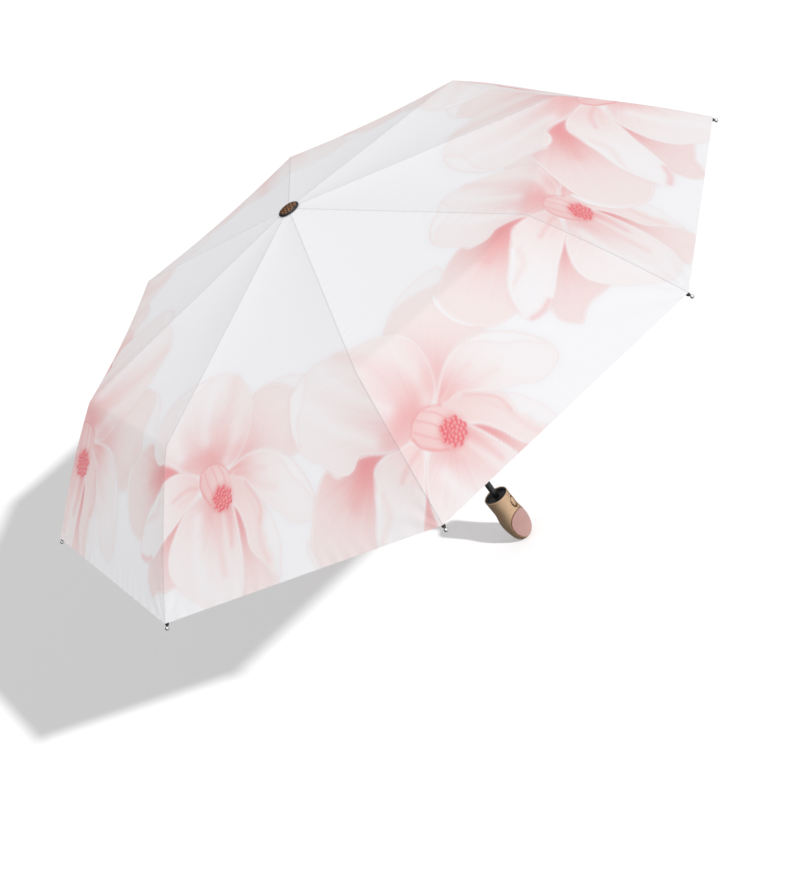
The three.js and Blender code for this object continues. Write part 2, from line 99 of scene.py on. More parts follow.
def rib_line(s):
    """The cloth over a rib, at arc length s from the peak: (distance from the axis, height, slope).
    A straight run at the top slope, then an even bend from the skirt's first slope; the corner between the
    two is rounded by averaging the line over a short stretch each way."""
    fine = np.linspace(0, HEM + 0.03, 1200)
    top = HUB_PIVOT + np.outer(fine - TOP_START, ALONG) + FABRIC_LIFT * ACROSS
    reach = np.clip(fine - TOP_END, 0, None)
    radius = OUTER_RIB / SKIRT_BEND
    turn = reach / radius
    x, z = radius * np.sin(turn), PIVOT_OFFSET - radius * (1 - np.cos(turn))
    slope = SKIRT_SLOPE + turn
    lift = FABRIC_LIFT + (FABRIC_LIFT_AT_TIP - FABRIC_LIFT) * np.clip(reach / OUTER_RIB, 0, 1)
    c, d = math.cos(SKIRT_SLOPE), math.sin(SKIRT_SLOPE)
    skirt = KNEE_PIVOT + np.stack([c * x + d * z + lift * np.sin(slope),
                                   -d * x + c * z + lift * np.cos(slope)], 1)
    line = np.where((fine <= TOP_END)[:, None], top, skirt)
    width = 9
    weights = np.hanning(2 * width + 1)
    padded = np.pad(line, ((width, width), (0, 0)), mode="reflect", reflect_type="odd")
    smooth = np.stack([np.convolve(padded[:, k], weights / weights.sum(), "valid") for k in range(2)], 1)
    slopes = np.arctan2(-np.gradient(smooth[:, 1]), np.gradient(smooth[:, 0]))
    return [np.interp(s, fine, values) for values in (smooth[:, 0], smooth[:, 1], slopes)]


# ---- meshes and materials ------------------------------------------------------------------------


def srgb(text):
    """An sRGB hex colour as linear values."""
    raw = np.array([int(text[i:i + 2], 16) for i in (1, 3, 5)]) / 255
    return tuple(np.where(raw <= 0.04045, raw / 12.92, ((raw + 0.055) / 1.055) ** 2.4))


def new_piece(name, points, faces, material, body, smooth_angle=40):
    mesh = bpy.data.meshes.new(name)
    mesh.from_pydata(points.reshape(-1, 3).tolist(), [], faces.tolist())
    mesh.validate()
    mesh.shade_smooth()
    if smooth_angle:
        mesh.set_sharp_from_angle(angle=math.radians(smooth_angle))
    mesh.materials.append(material)
    piece = bpy.data.objects.new(name, mesh)
    bpy.context.scene.collection.objects.link(piece)
    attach(piece, body)
    return piece


def grid_faces(rows, columns, closed=False):
    """Quads between neighbouring points of a grid; closed joins the last column to the first."""
    i, j = np.meshgrid(np.arange(rows - 1), np.arange(columns if closed else columns - 1), indexing="ij")
    k = (j + 1) % columns
    row, after = i * columns, (i + 1) * columns
    return np.stack([row + j, row + k, after + k, after + j], -1).reshape(-1, 4)


def closed_faces(rings, sides, flipped=False):
    """Quads between neighbouring rings, and fans that close the first ring and the last one on two more
    points, which follow the rings in the list of points."""
    quads = grid_faces(rings, sides, closed=True)
    j = np.arange(sides)
    k = (j + 1) % sides
    if flipped:
        quads = quads[:, ::-1]
        j, k = k, j
    first = np.full(sides, rings * sides)
    last = (rings - 1) * sides
    faces = quads.tolist() + np.stack([first, k, j], 1).tolist()
    faces += np.stack([first + 1, last + j, last + k], 1).tolist()
    return np.array(faces, dtype=object)


def turned(name, profile, material, body, axis=None, sides=72, smooth_angle=35):
    """A [radius, height] profile (mm) that starts and ends on the axis, turned into a closed body.
    axis is a 4x4 placing of the profile's own Z axis."""
    profile = np.array(profile, float) * MM
    inner = profile[1:-1]
    angle = np.arange(sides) * 2 * math.pi / sides
    ring = np.stack([np.outer(inner[:, 0], np.cos(angle)), np.outer(inner[:, 0], np.sin(angle)),
                     np.repeat(inner[:, 1:2], sides, 1)], -1)
    points = np.concatenate([ring.reshape(-1, 3), [[0, 0, profile[0, 1]]], [[0, 0, profile[-1, 1]]]])
    if axis is not None:
        points = points @ np.array(axis)[:3, :3].T + np.array(axis)[:3, 3]
    return new_piece(name, points, closed_faces(len(inner), sides), material, body, smooth_angle)


def ring_body(name, outline, material, body, sides=96, smooth_angle=35):
    """A closed [radius, height] outline (mm) that stays off the axis, turned into a ring."""
    outline = np.array(outline, float) * MM
    angle = np.arange(sides) * 2 * math.pi / sides
    closed = np.concatenate([outline, outline[:1]])
    ring = np.stack([np.outer(outline[:, 0], np.cos(angle)), np.outer(outline[:, 0], np.sin(angle)),
                     np.repeat(outline[:, 1:2], sides, 1)], -1)
    faces = grid_faces(len(closed), sides, closed=True) % (len(outline) * sides)
    return new_piece(name, ring, faces, material, body, smooth_angle)


def add_node(tree, kind, inputs=None, **settings):
    """Adds a node, sets its properties, and fills or links its inputs."""
    node = tree.nodes.new(kind)
    for key, value in settings.items():
        setattr(node, key, value)
    for socket, value in (inputs or {}).items():
        if isinstance(value, bpy.types.NodeSocket):
            tree.links.new(value, node.inputs[socket])
        else:
            node.inputs[socket].default_value = value
    return node


def material(name, **shader):
    """A new material with a principled shader; returns (material, its tree, the shader node)."""
    made = bpy.data.materials.new(name)
    made.use_nodes = True
    tree = made.node_tree
    principled = tree.nodes["Principled BSDF"]
    for socket, value in shader.items():
        principled.inputs[socket.replace("_", " ")].default_value = value
    return made, tree, principled


def math_node(tree, operation, first, second=0.0):
    return add_node(tree, "ShaderNodeMath", {0: first, 1: second}, operation=operation).outputs[0]


def grain(tree, scale_mm, detail=3.0, coordinates="Object"):
    """Noise whose blobs are about scale_mm across."""
    source = add_node(tree, "ShaderNodeTexCoord").outputs[coordinates]
    return add_node(tree, "ShaderNodeTexNoise", {
        "Vector": source, "Scale": 1 / (scale_mm * MM), "Detail": detail})


def set_bump(tree, principled, height, strength, depth_mm):
    """Lets a height tilt the shader's normal."""
    bump = add_node(tree, "ShaderNodeBump", {
        "Height": height, "Strength": strength, "Distance": depth_mm * MM})
    tree.links.new(bump.outputs[0], principled.inputs["Normal"])


def mix_colour(tree, factor, first, second, blend="MIX"):
    """Mixes two colours. Mix nodes name their sockets A and B more than once, so the colour pair is picked by
    its place."""
    return add_node(tree, "ShaderNodeMix", {0: factor, 6: first, 7: second},
                    data_type="RGBA", blend_type=blend).outputs[2]


def champagne_lacquer(colour):
    """Metallic lacquer sprayed on moulded ABS: satin, with fine flakes that break up the highlight."""
    made, tree, principled = material("champagne_metallic_lacquer", Metallic=0.85, Coat_Weight=0.15,
                                      Coat_Roughness=0.2)
    flake = grain(tree, 0.35).outputs[0]
    broad = grain(tree, 9).outputs[0]
    tone_shift = add_node(tree, "ShaderNodeMapRange", {
        "Value": broad, "To Min": 0.85, "To Max": 1.1}).outputs[0]
    base = mix_colour(tree, 1.0, (*colour, 1), tone_shift, "MULTIPLY")
    base = mix_colour(tree, math_node(tree, "MULTIPLY", flake, 0.35), base, (*srgb("#E8D2B8"), 1))
    tree.links.new(base, principled.inputs["Base Color"])
    rough = add_node(tree, "ShaderNodeMapRange", {"Value": flake, "To Min": 0.32, "To Max": 0.5})
    tree.links.new(rough.outputs[0], principled.inputs["Roughness"])
    set_bump(tree, principled, flake, 0.12, 0.03)
    return made


def soft_rubber(colour):
    """Silicone rubber moulded in a spark-eroded tool: matt, with a fine even tooth."""
    made, tree, principled = material("soft_silicone_rubber", Sheen_Weight=0.15, Sheen_Roughness=0.5,
                                      Subsurface_Weight=0.06, Subsurface_Scale=0.002)
    tooth = grain(tree, 0.45, detail=5).outputs[0]
    broad = grain(tree, 12).outputs[0]
    tone_shift = add_node(tree, "ShaderNodeMapRange", {
        "Value": broad, "To Min": 0.93, "To Max": 1.04}).outputs[0]
    base = mix_colour(tree, 1.0, (*colour, 1), tone_shift, "MULTIPLY")
    tree.links.new(base, principled.inputs["Base Color"])
    rough = add_node(tree, "ShaderNodeMapRange", {"Value": tooth, "To Min": 0.5, "To Max": 0.66})
    tree.links.new(rough.outputs[0], principled.inputs["Roughness"])
    set_bump(tree, principled, tooth, 0.3, 0.05)
    return made


def moulded_plastic(name, roughness):
    """Black nylon or ABS from a mould: a faint tooth and slightly uneven gloss."""
    return plain_finish(name, "#1B1A1C", "#232225", roughness, 0.08, 0.9, bump=0.18)


def coated_steel(colour):
    """Zinc-plated steel channel with a dark baked coat, worn a little brighter in places."""
    made, tree, principled = material("coated_rib_steel", Metallic=0.65)
    fine = grain(tree, 0.7).outputs[0]
    wear = grain(tree, 6, detail=6).outputs[0]
    worn = add_node(tree, "ShaderNodeMapRange", {
        "Value": wear, "From Min": 0.58, "From Max": 0.75}).outputs[0]
    base = mix_colour(tree, math_node(tree, "MULTIPLY", worn, 0.4), (*colour, 1), (*srgb("#6C6C72"), 1))
    tree.links.new(base, principled.inputs["Base Color"])
    rough = add_node(tree, "ShaderNodeMapRange", {"Value": fine, "To Min": 0.3, "To Max": 0.48})
    tree.links.new(rough.outputs[0], principled.inputs["Roughness"])
    set_bump(tree, principled, fine, 0.12, 0.04)
    return made


WAVE_PITCH = 4.4  # the cap's waves, in mm
WAVE_SWAY = 1.1  # how far they sway to each side (mm), and how fast along the cap (radians per mm)


def gilt_plastic(colour):
    """Black moulded cap with bronze foil rubbed into its sunk waves, which follow the dome's own sine."""
    made, tree, principled = material("gilt_black_abs")
    at = add_node(tree, "ShaderNodeSeparateXYZ", {
        0: add_node(tree, "ShaderNodeTexCoord").outputs["Object"]}).outputs
    x = math_node(tree, "MULTIPLY", at[0], 1 / MM)
    y = math_node(tree, "MULTIPLY", at[1], 1 / MM)
    sway = math_node(tree, "SINE", math_node(tree, "MULTIPLY", y, WAVE_SWAY))
    swayed = math_node(tree, "ADD", x, math_node(tree, "MULTIPLY", sway, WAVE_SWAY))
    wave = math_node(tree, "SINE", math_node(tree, "MULTIPLY", swayed, 2 * math.pi / WAVE_PITCH))
    r = math_node(tree, "SQRT", math_node(tree, "ADD", math_node(tree, "MULTIPLY", x, x),
                                          math_node(tree, "MULTIPLY", y, y)))
    high = math_node(tree, "GREATER_THAN", at[2], PEAK_Z - 1.9 * MM)
    foil = add_node(tree, "ShaderNodeMapRange", {"Value": wave, "From Min": 0.0, "From Max": 0.25}).outputs[0]
    foil = math_node(tree, "MULTIPLY", math_node(tree, "MULTIPLY", foil, high),
                     math_node(tree, "LESS_THAN", r, 12.3))
    rubbed = add_node(tree, "ShaderNodeMapRange", {"Value": grain(tree, 1.1).outputs[0], "To Min": 0.7,
                                                   "To Max": 1.0}).outputs[0]
    foil = math_node(tree, "MULTIPLY", foil, rubbed)
    base = mix_colour(tree, foil, (*srgb("#171618"), 1), (*colour, 1))
    tree.links.new(base, principled.inputs["Base Color"])
    tree.links.new(math_node(tree, "MULTIPLY", foil, 0.8), principled.inputs["Metallic"])
    rough = add_node(tree, "ShaderNodeMapRange", {"Value": foil, "To Min": 0.4, "To Max": 0.3})
    tree.links.new(rough.outputs[0], principled.inputs["Roughness"])
    set_bump(tree, principled, grain(tree, 0.8).outputs[0], 0.1, 0.04)
    return made


def fill_slots(node, finish):
    """Gives a carried-over CAD node one finish all over."""
    for place in node.material_slots:
        place.material = finish


def plain_finish(name, light, dark, roughness, spread, scale_mm, bump=0.15, depth_mm=0.05, **shader):
    """A moulded, painted or plated finish: two close tones that wander, and a fine bump."""
    made, tree, principled = material(name, **shader)
    noise = grain(tree, scale_mm).outputs[0]
    broad = grain(tree, scale_mm * 14).outputs[0]
    colour = mix_colour(tree, broad, (*srgb(light), 1), (*srgb(dark), 1))
    tree.links.new(colour, principled.inputs["Base Color"])
    rough = add_node(tree, "ShaderNodeMapRange", {"Value": noise, "To Min": roughness - spread,
                                                  "To Max": roughness + spread})
    tree.links.new(rough.outputs[0], principled.inputs["Roughness"])
    set_bump(tree, principled, noise, bump, depth_mm)
    return made


# ---- the printed flowers -------------------------------------------------------------------------
# One blossom is drawn in millimetres round its receptacle: x to the right and y towards the hem, as seen
# from outside. Shapes are listed from the back one to the front one, each a smooth closed outline.

WHITE = "#FBF8F7"
PALE = "#FBF3F0"
BLUSH = "#F9E4DD"
ROSE = "#F4C3BA"
DEEP = "#EC8E89"
RED = "#E56A66"

# name, outline, colour at the edge, colour at the base, base point, how far the base colour reaches,
# streak strength, soft shadow strength
PETALS = [
    ("right back", [(26, -7), (36, -22), (48, -45), (52, -66), (44, -88), (58, -98), (75, -101), (92, -97),
                    (108, -89), (122, -81), (133, -74), (130, -58), (129, -40), (131, -24), (122, -10),
                    (108, -4), (95, -11), (80, -15), (60, -15), (44, -12)],
     BLUSH, DEEP, (30, -10), 32, 0.5, 0.2),
    ("right back lip", [(44, -88), (60, -100), (80, -108), (103, -111), (125, -108), (141, -102), (139, -88),
                        (133, -74), (120, -82), (107, -90), (92, -98), (75, -102), (58, -98)],
     WHITE, WHITE, (44, -88), 10, 0, 0.1),
    ("left back", [(-50, -20), (-72, -42), (-103, -50), (-106, -66), (-132, -66), (-160, -59), (-185, -50),
                   (-196, -36), (-202, -15), (-200, 10), (-192, 25), (-178, 35), (-160, 39), (-148, 25),
                   (-130, 12), (-108, 1), (-88, -12), (-70, -22)],
     BLUSH, RED, (-66, -26), 46, 0.5, 0.2),
    ("left back lip", [(-196, -36), (-202, -15), (-200, 10), (-205, -2), (-207, -18), (-202, -38),
                       (-192, -52), (-182, -56)],
     WHITE, WHITE, (-196, -36), 10, 0, 0.1),
    ("lower right back", [(16, 34), (28, 50), (35, 70), (39, 92), (52, 108), (66, 124), (76, 150), (10, 160),
                          (22, 120), (24, 90), (21, 60)],
     BLUSH, RED, (24, 50), 44, 0.4, 0.1),
    ("lower left back", [(-50, 24), (-72, 35), (-105, 52), (-137, 66), (-145, 75), (-149, 85), (-146, 97),
                         (-139, 107), (-125, 103), (-110, 100), (-95, 102), (-78, 102), (-83, 88), (-84, 74),
                         (-79, 59), (-69, 45), (-59, 33)],
     "#F4D6D0", RED, (-58, 29), 36, 0.4, 0.2),
    ("bottom", [(-8, 20), (-28, 16), (-40, 20), (-52, 26), (-62, 35), (-72, 47), (-81, 60), (-86, 75),
                (-85, 89), (-80, 101), (-72, 115), (-60, 127), (-48, 138), (-30, 150), (0, 154), (19, 140),
                (24, 118), (25, 92), (23, 65), (19, 40), (12, 25)],
     PALE, DEEP, (0, 30), 34, 0.9, 0.25),
    ("top", [(-26, -6), (-48, -20), (-60, -32), (-71, -42), (-86, -40), (-97, -44), (-103, -55), (-104, -75),
             (-107, -88), (-104, -104), (-96, -117), (-82, -128), (-68, -136), (-50, -142), (-35, -144),
             (-19, -143), (-4, -137), (9, -128), (21, -117), (32, -104), (42, -91), (50, -77), (55, -63),
             (54, -48), (47, -31), (37, -17), (26, -8), (8, -4)],
     PALE, DEEP, (-5, -8), 44, 0.7, 0.3),
    ("top lip", [(-102, -103), (-94, -118), (-80, -129), (-66, -137), (-50, -142), (-33, -144), (-40, -134),
                 (-48, -127), (-62, -122), (-80, -119), (-90, -113)],
     WHITE, WHITE, (-60, -130), 10, 0, 0.05),
    ("left", [(-28, -7), (-50, -20), (-64, -23), (-76, -21), (-88, -10), (-110, 3), (-134, 15), (-150, 30),
              (-166, 48), (-163, 59), (-150, 66), (-137, 67), (-118, 61), (-100, 52), (-85, 43), (-70, 36),
              (-52, 25), (-40, 19), (-30, 10)],
     WHITE, ROSE, (-28, 4), 30, 0.9, 0.3),
    ("lower right lip", [(62, 40), (68, 51), (76, 62), (81, 76), (86, 94), (83, 115), (80, 131), (75, 133),
                         (70, 122), (60, 90), (60, 60)],
     WHITE, WHITE, (66, 50), 10, 0, 0.25),
    ("lower right", [(16, 6), (30, 9), (45, 20), (55, 32), (63, 44), (67, 55), (65, 64), (61, 75), (66, 86),
                     (65, 95), (72, 108), (71, 121), (76, 133), (66, 124), (54, 110), (45, 104), (38, 93),
                     (34, 70), (27, 50), (18, 36)],
     BLUSH, ROSE, (22, 14), 34, 0.8, 0.3),
    ("right", [(14, 0), (28, -7), (42, -12), (60, -16), (80, -15), (95, -9), (108, -3), (120, 8), (131, 21),
               (139, 35), (144, 52), (141, 65), (130, 71), (110, 72), (99, 68), (87, 58), (75, 50), (64, 43),
               (50, 26), (38, 14), (24, 9)],
     PALE, DEEP, (24, 2), 26, 0.8, 0.35),
    ("right lip", [(82, -14), (95, -9), (108, -3), (121, 9), (132, 23), (140, 38), (142, 50), (133, 38),
                   (124, 28), (113, 21), (106, 12), (101, 3), (92, -6)],
     WHITE, WHITE, (100, 0), 10, 0, 0.1),
    ("receptacle", [(-27, 2), (-25, -8), (-17, -13), (-7, -14), (3, -12), (10, -5), (16, 2), (20, 12),
                    (20, 22), (8, 34), (-10, 34), (-20, 26), (-26, 14)],
     "#F0A49F", "#F6BFB9", (2, 6), 15, 0, 0.25),
]

# points, half width, colour, strength: soft strokes over the shapes
CREASES = [
    ([(6, -124), (12, -95), (10, -60), (4, -30)], 9, ROSE, 0.42),
    ([(30, -98), (34, -70), (30, -40), (14, -14)], 8, BLUSH, 0.7),
    ([(-60, -118), (-62, -80), (-50, -40)], 8, WHITE, 0.5),
    ([(-20, -130), (-22, -90), (-14, -45)], 9, WHITE, 0.45),
    ([(-40, -24), (-12, -24), (20, -22), (38, -22)], 11, DEEP, 0.3),
    ([(-8, 46), (-9, 66), (-7, 88), (-6, 112)], 6, ROSE, 0.6),
    ([(12, 46), (12, 66), (11, 84)], 4, DEEP, 0.35),
    ([(2, 46), (3, 78), (2, 118)], 4, BLUSH, 0.5),
    ([(-36, 40), (-44, 80), (-38, 120)], 8, WHITE, 0.55),
    ([(-90, -2), (-104, 14), (-124, 18), (-146, 23), (-162, 42)], 4, ROSE, 0.4),
    ([(-94, -6), (-112, 5), (-136, 17), (-152, 32), (-160, 44)], 2.4, WHITE, 0.8),
    ([(-162, 58), (-148, 63), (-132, 62)], 4, DEEP, 0.5),
    ([(24, 5), (40, 12), (60, 22), (84, 30)], 5, ROSE, 0.35),
    ([(22, 2), (44, 2), (70, 6)], 3, ROSE, 0.45),
    ([(28, 14), (44, 32), (54, 60), (56, 92), (64, 112)], 4, ROSE, 0.6),
    ([(40, 18), (52, 34), (60, 50), (58, 66)], 2.2, DEEP, 0.35),
    ([(-30, 6), (-46, 2), (-66, 6)], 3, DEEP, 0.35),
    ([(-30, 10), (-44, 12), (-60, 14)], 2.4, ROSE, 0.5),
    ([(52, -52), (48, -30), (34, -14)], 7, ROSE, 0.4),
    ([(120, -62), (122, -40), (112, -20)], 10, ROSE, 0.4),
    ([(-72, -30), (-96, -26), (-118, -22)], 9, DEEP, 0.4),
    ([(-19, -8), (-15, 8), (-9, 24)], 1, DEEP, 0.7),
    ([(-9, -12), (-3, 4), (0, 20)], 1, DEEP, 0.7),
    ([(2, -10), (8, 2), (10, 16)], 1, DEEP, 0.7),
    ([(-25, -6), (-27, 6), (-21, 22), (-14, 32)], 1.3, RED, 0.6),
    ([(-24, -9), (-12, -14), (2, -12), (11, -5), (18, 4)], 1.1, RED, 0.5),
]
BEADS_AT = (3, 28)
BEADS_RADIUS = 16
BEAD_RADIUS = 3.4
BEAD_COUNT = 30
SPIRAL_TURN = 2.4  # from one bead to the next, in radians

# Each blossom on the canopy: direction from the shaft (degrees), distance from the peak along the cloth
# (mm), size, and how far it is turned clockwise (degrees). A later one lies over an earlier one.
BLOSSOMS = [
    (3, 386, 1.27, 0), (50, 415, 1.1, -12), (95, 400, 1.16, 6), (140, 420, 1.1, -8), (184, 392, 1.25, 8),
    (236.2, 400, 1, 0), (276.1, 447, 1.157, -20.8), (322.7, 377, 1.03, 10.1),
]


def smooth_loop(points, closed=True, steps=6):
    """Catmull-Rom curve through the points, with a few steps between neighbours."""
    p = np.array(points, float)
    if closed:
        a, b, c, d = np.roll(p, 1, 0), p, np.roll(p, -1, 0), np.roll(p, -2, 0)
    else:
        q = np.concatenate([p[:1], p, p[-1:]])
        a, b, c, d = q[:-3], q[1:-2], q[2:-1], q[3:]
    t = (np.arange(steps) / steps)[None, :, None]
    a, b, c, d = (x[:, None] for x in (a, b, c, d))
    squared, cubed = 2 * a - 5 * b + 4 * c - d, 3 * b - a - 3 * c + d
    curve = 0.5 * (2 * b + (c - a) * t + squared * t ** 2 + cubed * t ** 3)
    curve = curve.reshape(-1, p.shape[1])
    return curve if closed else np.concatenate([curve, p[-1:]])


def distance_to(spots, curve, closed=True):
    """Distance from each spot to the curve, negative inside a closed one (even-odd rule)."""
    ends = np.roll(curve, -1, 0) if closed else curve[1:]
    starts = curve if closed else curve[:-1]
    nearest = np.full(len(spots), 1e9)
    inside = np.zeros(len(spots), bool)
    for start, end in zip(starts, ends):
        run = end - start
        share = np.clip((spots - start) @ run / max(run @ run, 1e-9), 0, 1)
        gap = spots - start - share[:, None] * run
        nearest = np.minimum(nearest, (gap ** 2).sum(1))
        if closed:
            crosses = (start[1] > spots[:, 1]) != (end[1] > spots[:, 1])
            if crosses.any():
                reach = start[0] + (spots[:, 1] - start[1]) * run[0] / (run[1] or 1e-9)
                inside ^= crosses & (spots[:, 0] < reach)
    nearest = np.sqrt(nearest)
    return np.where(inside, -nearest, nearest)


def smoothstep(low, high, value):
    """0 before low, 1 past high, and a smooth cubic between."""
    t = np.clip((value - low) / (high - low), 0, 1)
    return t * t * (3 - 2 * t)


def tone(text):
    """An sRGB hex colour as plain sRGB values, in which the print is mixed."""
    return np.array([int(text[i:i + 2], 16) for i in (1, 3, 5)]) / 255


def lay(colours, where, colour, cover):
    """Paints colour over the chosen spots, each by its own cover from 0 to 1."""
    colours[where] += (colour - colours[where]) * np.clip(cover, 0, 1)[:, None]


def near(spots, curve, margin):
    """Places in spots of those inside the curve's bounds grown by a margin."""
    low, high = curve.min(0) - margin, curve.max(0) + margin
    return np.flatnonzero(((spots > low) & (spots < high)).all(1))


def paint_petal(spots, colours, outline, edge, base, base_at, reach, streaks, shadow):
    """Edge colour that deepens towards the base by a bell of the distance, broken into streaks that fan out
    from the base, with a thin light rim, a faint darker band inside it and a soft shadow round it."""
    curve = smooth_loop(outline)
    chosen = near(spots, curve, 16)
    if not len(chosen):
        return
    rim = 0.1 if reach < 17 else 0.6
    q = spots[chosen]
    gap = distance_to(q, curve)
    round_it = np.exp(-(np.clip(gap, 0, None) / 7) ** 2) * (gap > -1)
    lay(colours, chosen, tone("#D9C9C8"), shadow * 0.55 * round_it)
    away = q - base_at
    distance = np.hypot(away[:, 0], away[:, 1])
    angle = np.arctan2(away[:, 1], away[:, 0])
    fan = 0.2 * (np.sin(23 * angle + 1.3) + np.sin(41 * angle + 0.7) + np.sin(67 * angle + 2.1)) / 1.6
    depth = np.exp(-(distance / (reach * (1 + 0.35 * streaks * fan))) ** 1.6)
    depth = np.clip(depth + 0.08 * streaks * fan * np.exp(-distance / (3 * reach)), 0, 1)
    middle = np.exp(-(distance / (2.4 * reach)) ** 2) * 0.5
    colour = tone(edge) + (tone(ROSE) - tone(edge)) * middle[:, None] * (1 if reach > 10 else 0)
    colour = colour + (tone(base) - colour) * depth[:, None]
    colour += (tone(ROSE) - colour) * (0.2 * np.exp(gap / 6) * (gap < 0))[:, None]
    colour += (tone(WHITE) - colour) * (rim * np.exp(-((gap + 1.2) / 1.0) ** 2))[:, None]
    lay(colours, chosen, colour, smoothstep(0.9, -0.9, gap))
    lay(colours, chosen, tone(ROSE), 0.35 * np.exp(-(gap / 0.9) ** 2))


def paint_stroke(spots, colours, points, half_width, colour, strength):
    """A soft line through the points that fades with a bell across it and towards its ends."""
    curve = smooth_loop(points, closed=False)
    chosen = near(spots, curve, 2.5 * half_width)
    if len(chosen):
        q = spots[chosen]
        gap = distance_to(q, curve, closed=False)
        lay(colours, chosen, tone(colour), strength * np.exp(-(gap / half_width) ** 2))


def paint_beads(spots, colours):
    """Small round beads on a sunflower spiral, light on their upper left and dark between them."""
    chosen = np.flatnonzero(np.hypot(*(spots - BEADS_AT).T) < BEADS_RADIUS + 6)
    if not len(chosen):
        return
    q = spots[chosen]
    lay(colours, chosen, tone(RED), 0.6 * np.exp(-(np.hypot(*(q - BEADS_AT).T) / (BEADS_RADIUS + 1)) ** 6))
    for k in range(BEAD_COUNT):
        r = (BEADS_RADIUS - 2) * math.sqrt((k + 0.5) / BEAD_COUNT)
        turn = SPIRAL_TURN * k
        centre = np.array(BEADS_AT) + r * np.array([math.cos(turn), math.sin(turn)])
        gap = np.hypot(*(q - centre).T)
        lit = np.exp(-(np.hypot(*(q - centre - (-1.0, -1.1)).T) / 1.9) ** 2)
        shade = tone("#DF4B4C") + (tone("#F79B93") - tone("#DF4B4C")) * lit[:, None]
        lay(colours, chosen, shade, smoothstep(BEAD_RADIUS, BEAD_RADIUS - 1.3, gap))


def print_colours(azimuth, s):
    """sRGB colours of the print at directions azimuth (radians) and arc lengths s (m) from the peak."""
    colours = np.tile(tone("#FDFDFE"), (len(s), 1))
    for order in range(-1, 2):
        for direction, out, size, turn in BLOSSOMS:
            centre = math.radians(direction + 360 * order)
            off = azimuth - centre
            x, y = s / MM * np.sin(off), s / MM * np.cos(off) - out
            turn = math.radians(turn)
            local = np.stack([x * math.cos(turn) + y * math.sin(turn),
                              -x * math.sin(turn) + y * math.cos(turn)], 1) / size
            chosen = np.flatnonzero((np.hypot(*local.T) < 235) & (np.abs(off) < 1.3))
            if not len(chosen):
                continue
            spots, part = local[chosen], colours[chosen]
            for _, outline, *finish in PETALS:
                paint_petal(spots, part, outline, *finish)
            for crease in CREASES:
                paint_stroke(spots, part, *crease)
            paint_beads(spots, part)
            colours[chosen] = part
    return colours


# ---- canopy --------------------------------------------------------------------------------------


def cloth_surface(s, v):
    """The cloth round one arm, v running from -0.5 to 0.5 between the middles of its two gores. It crosses
    straight from rib line to rib line, hangs in by a parabola across the gore times a half sine along it,
    and puckers a little where the seam and the hem pull it."""
    x, z, slope = rib_line(s)
    side = np.abs(v)
    share = (s - TOP_START) / (HEM - TOP_START)
    hang = FABRIC_SAG * np.sin(math.pi * np.clip(1.1 * share, 0, 1)) * 4 * side * (1 - side)
    across = side * 2 * math.sin(SECTOR / 2) * x
    seam = np.exp(-across / (9 * MM)) * (1 - np.exp(-across / (1.5 * MM)))
    seam_pull = 0.35 * MM * seam * np.sin(s / MM * 0.41 + 2 * np.sin(s / MM * 0.043))
    from_hem = HEM - s
    ripple = np.sin(across / MM * 0.29 + 1.7 * np.sin(across / MM * 0.05))
    hem_pull = 0.45 * MM * np.exp(-from_hem / (14 * MM)) * ripple
    hem_pull = hem_pull * np.clip(across / (12 * MM), 0, 1) * np.clip((0.5 - side) * 12, 0, 1)
    tip = np.hypot(from_hem, across)
    creases = np.sin(9 * np.arctan2(across, from_hem + 4 * MM))
    fan = 0.8 * MM * creases * np.exp(-tip / (60 * MM)) * np.clip(tip / (14 * MM), 0, 1)
    hang = hang - seam_pull - hem_pull - fan * np.clip(across / (10 * MM), 0, 1)
    middle = SECTOR / 2 * np.sign(v)
    radial, tangent = x * (1 - side * (1 - math.cos(SECTOR))), x * math.sin(SECTOR) * v
    points = np.stack([radial - hang * np.sin(slope) * np.cos(middle),
                       tangent - hang * np.sin(slope) * np.sin(middle),
                       z - hang * np.cos(slope)], -1)
    return points, across


SHOW_THROUGH = 0.45  # how much of the print shows on the underside


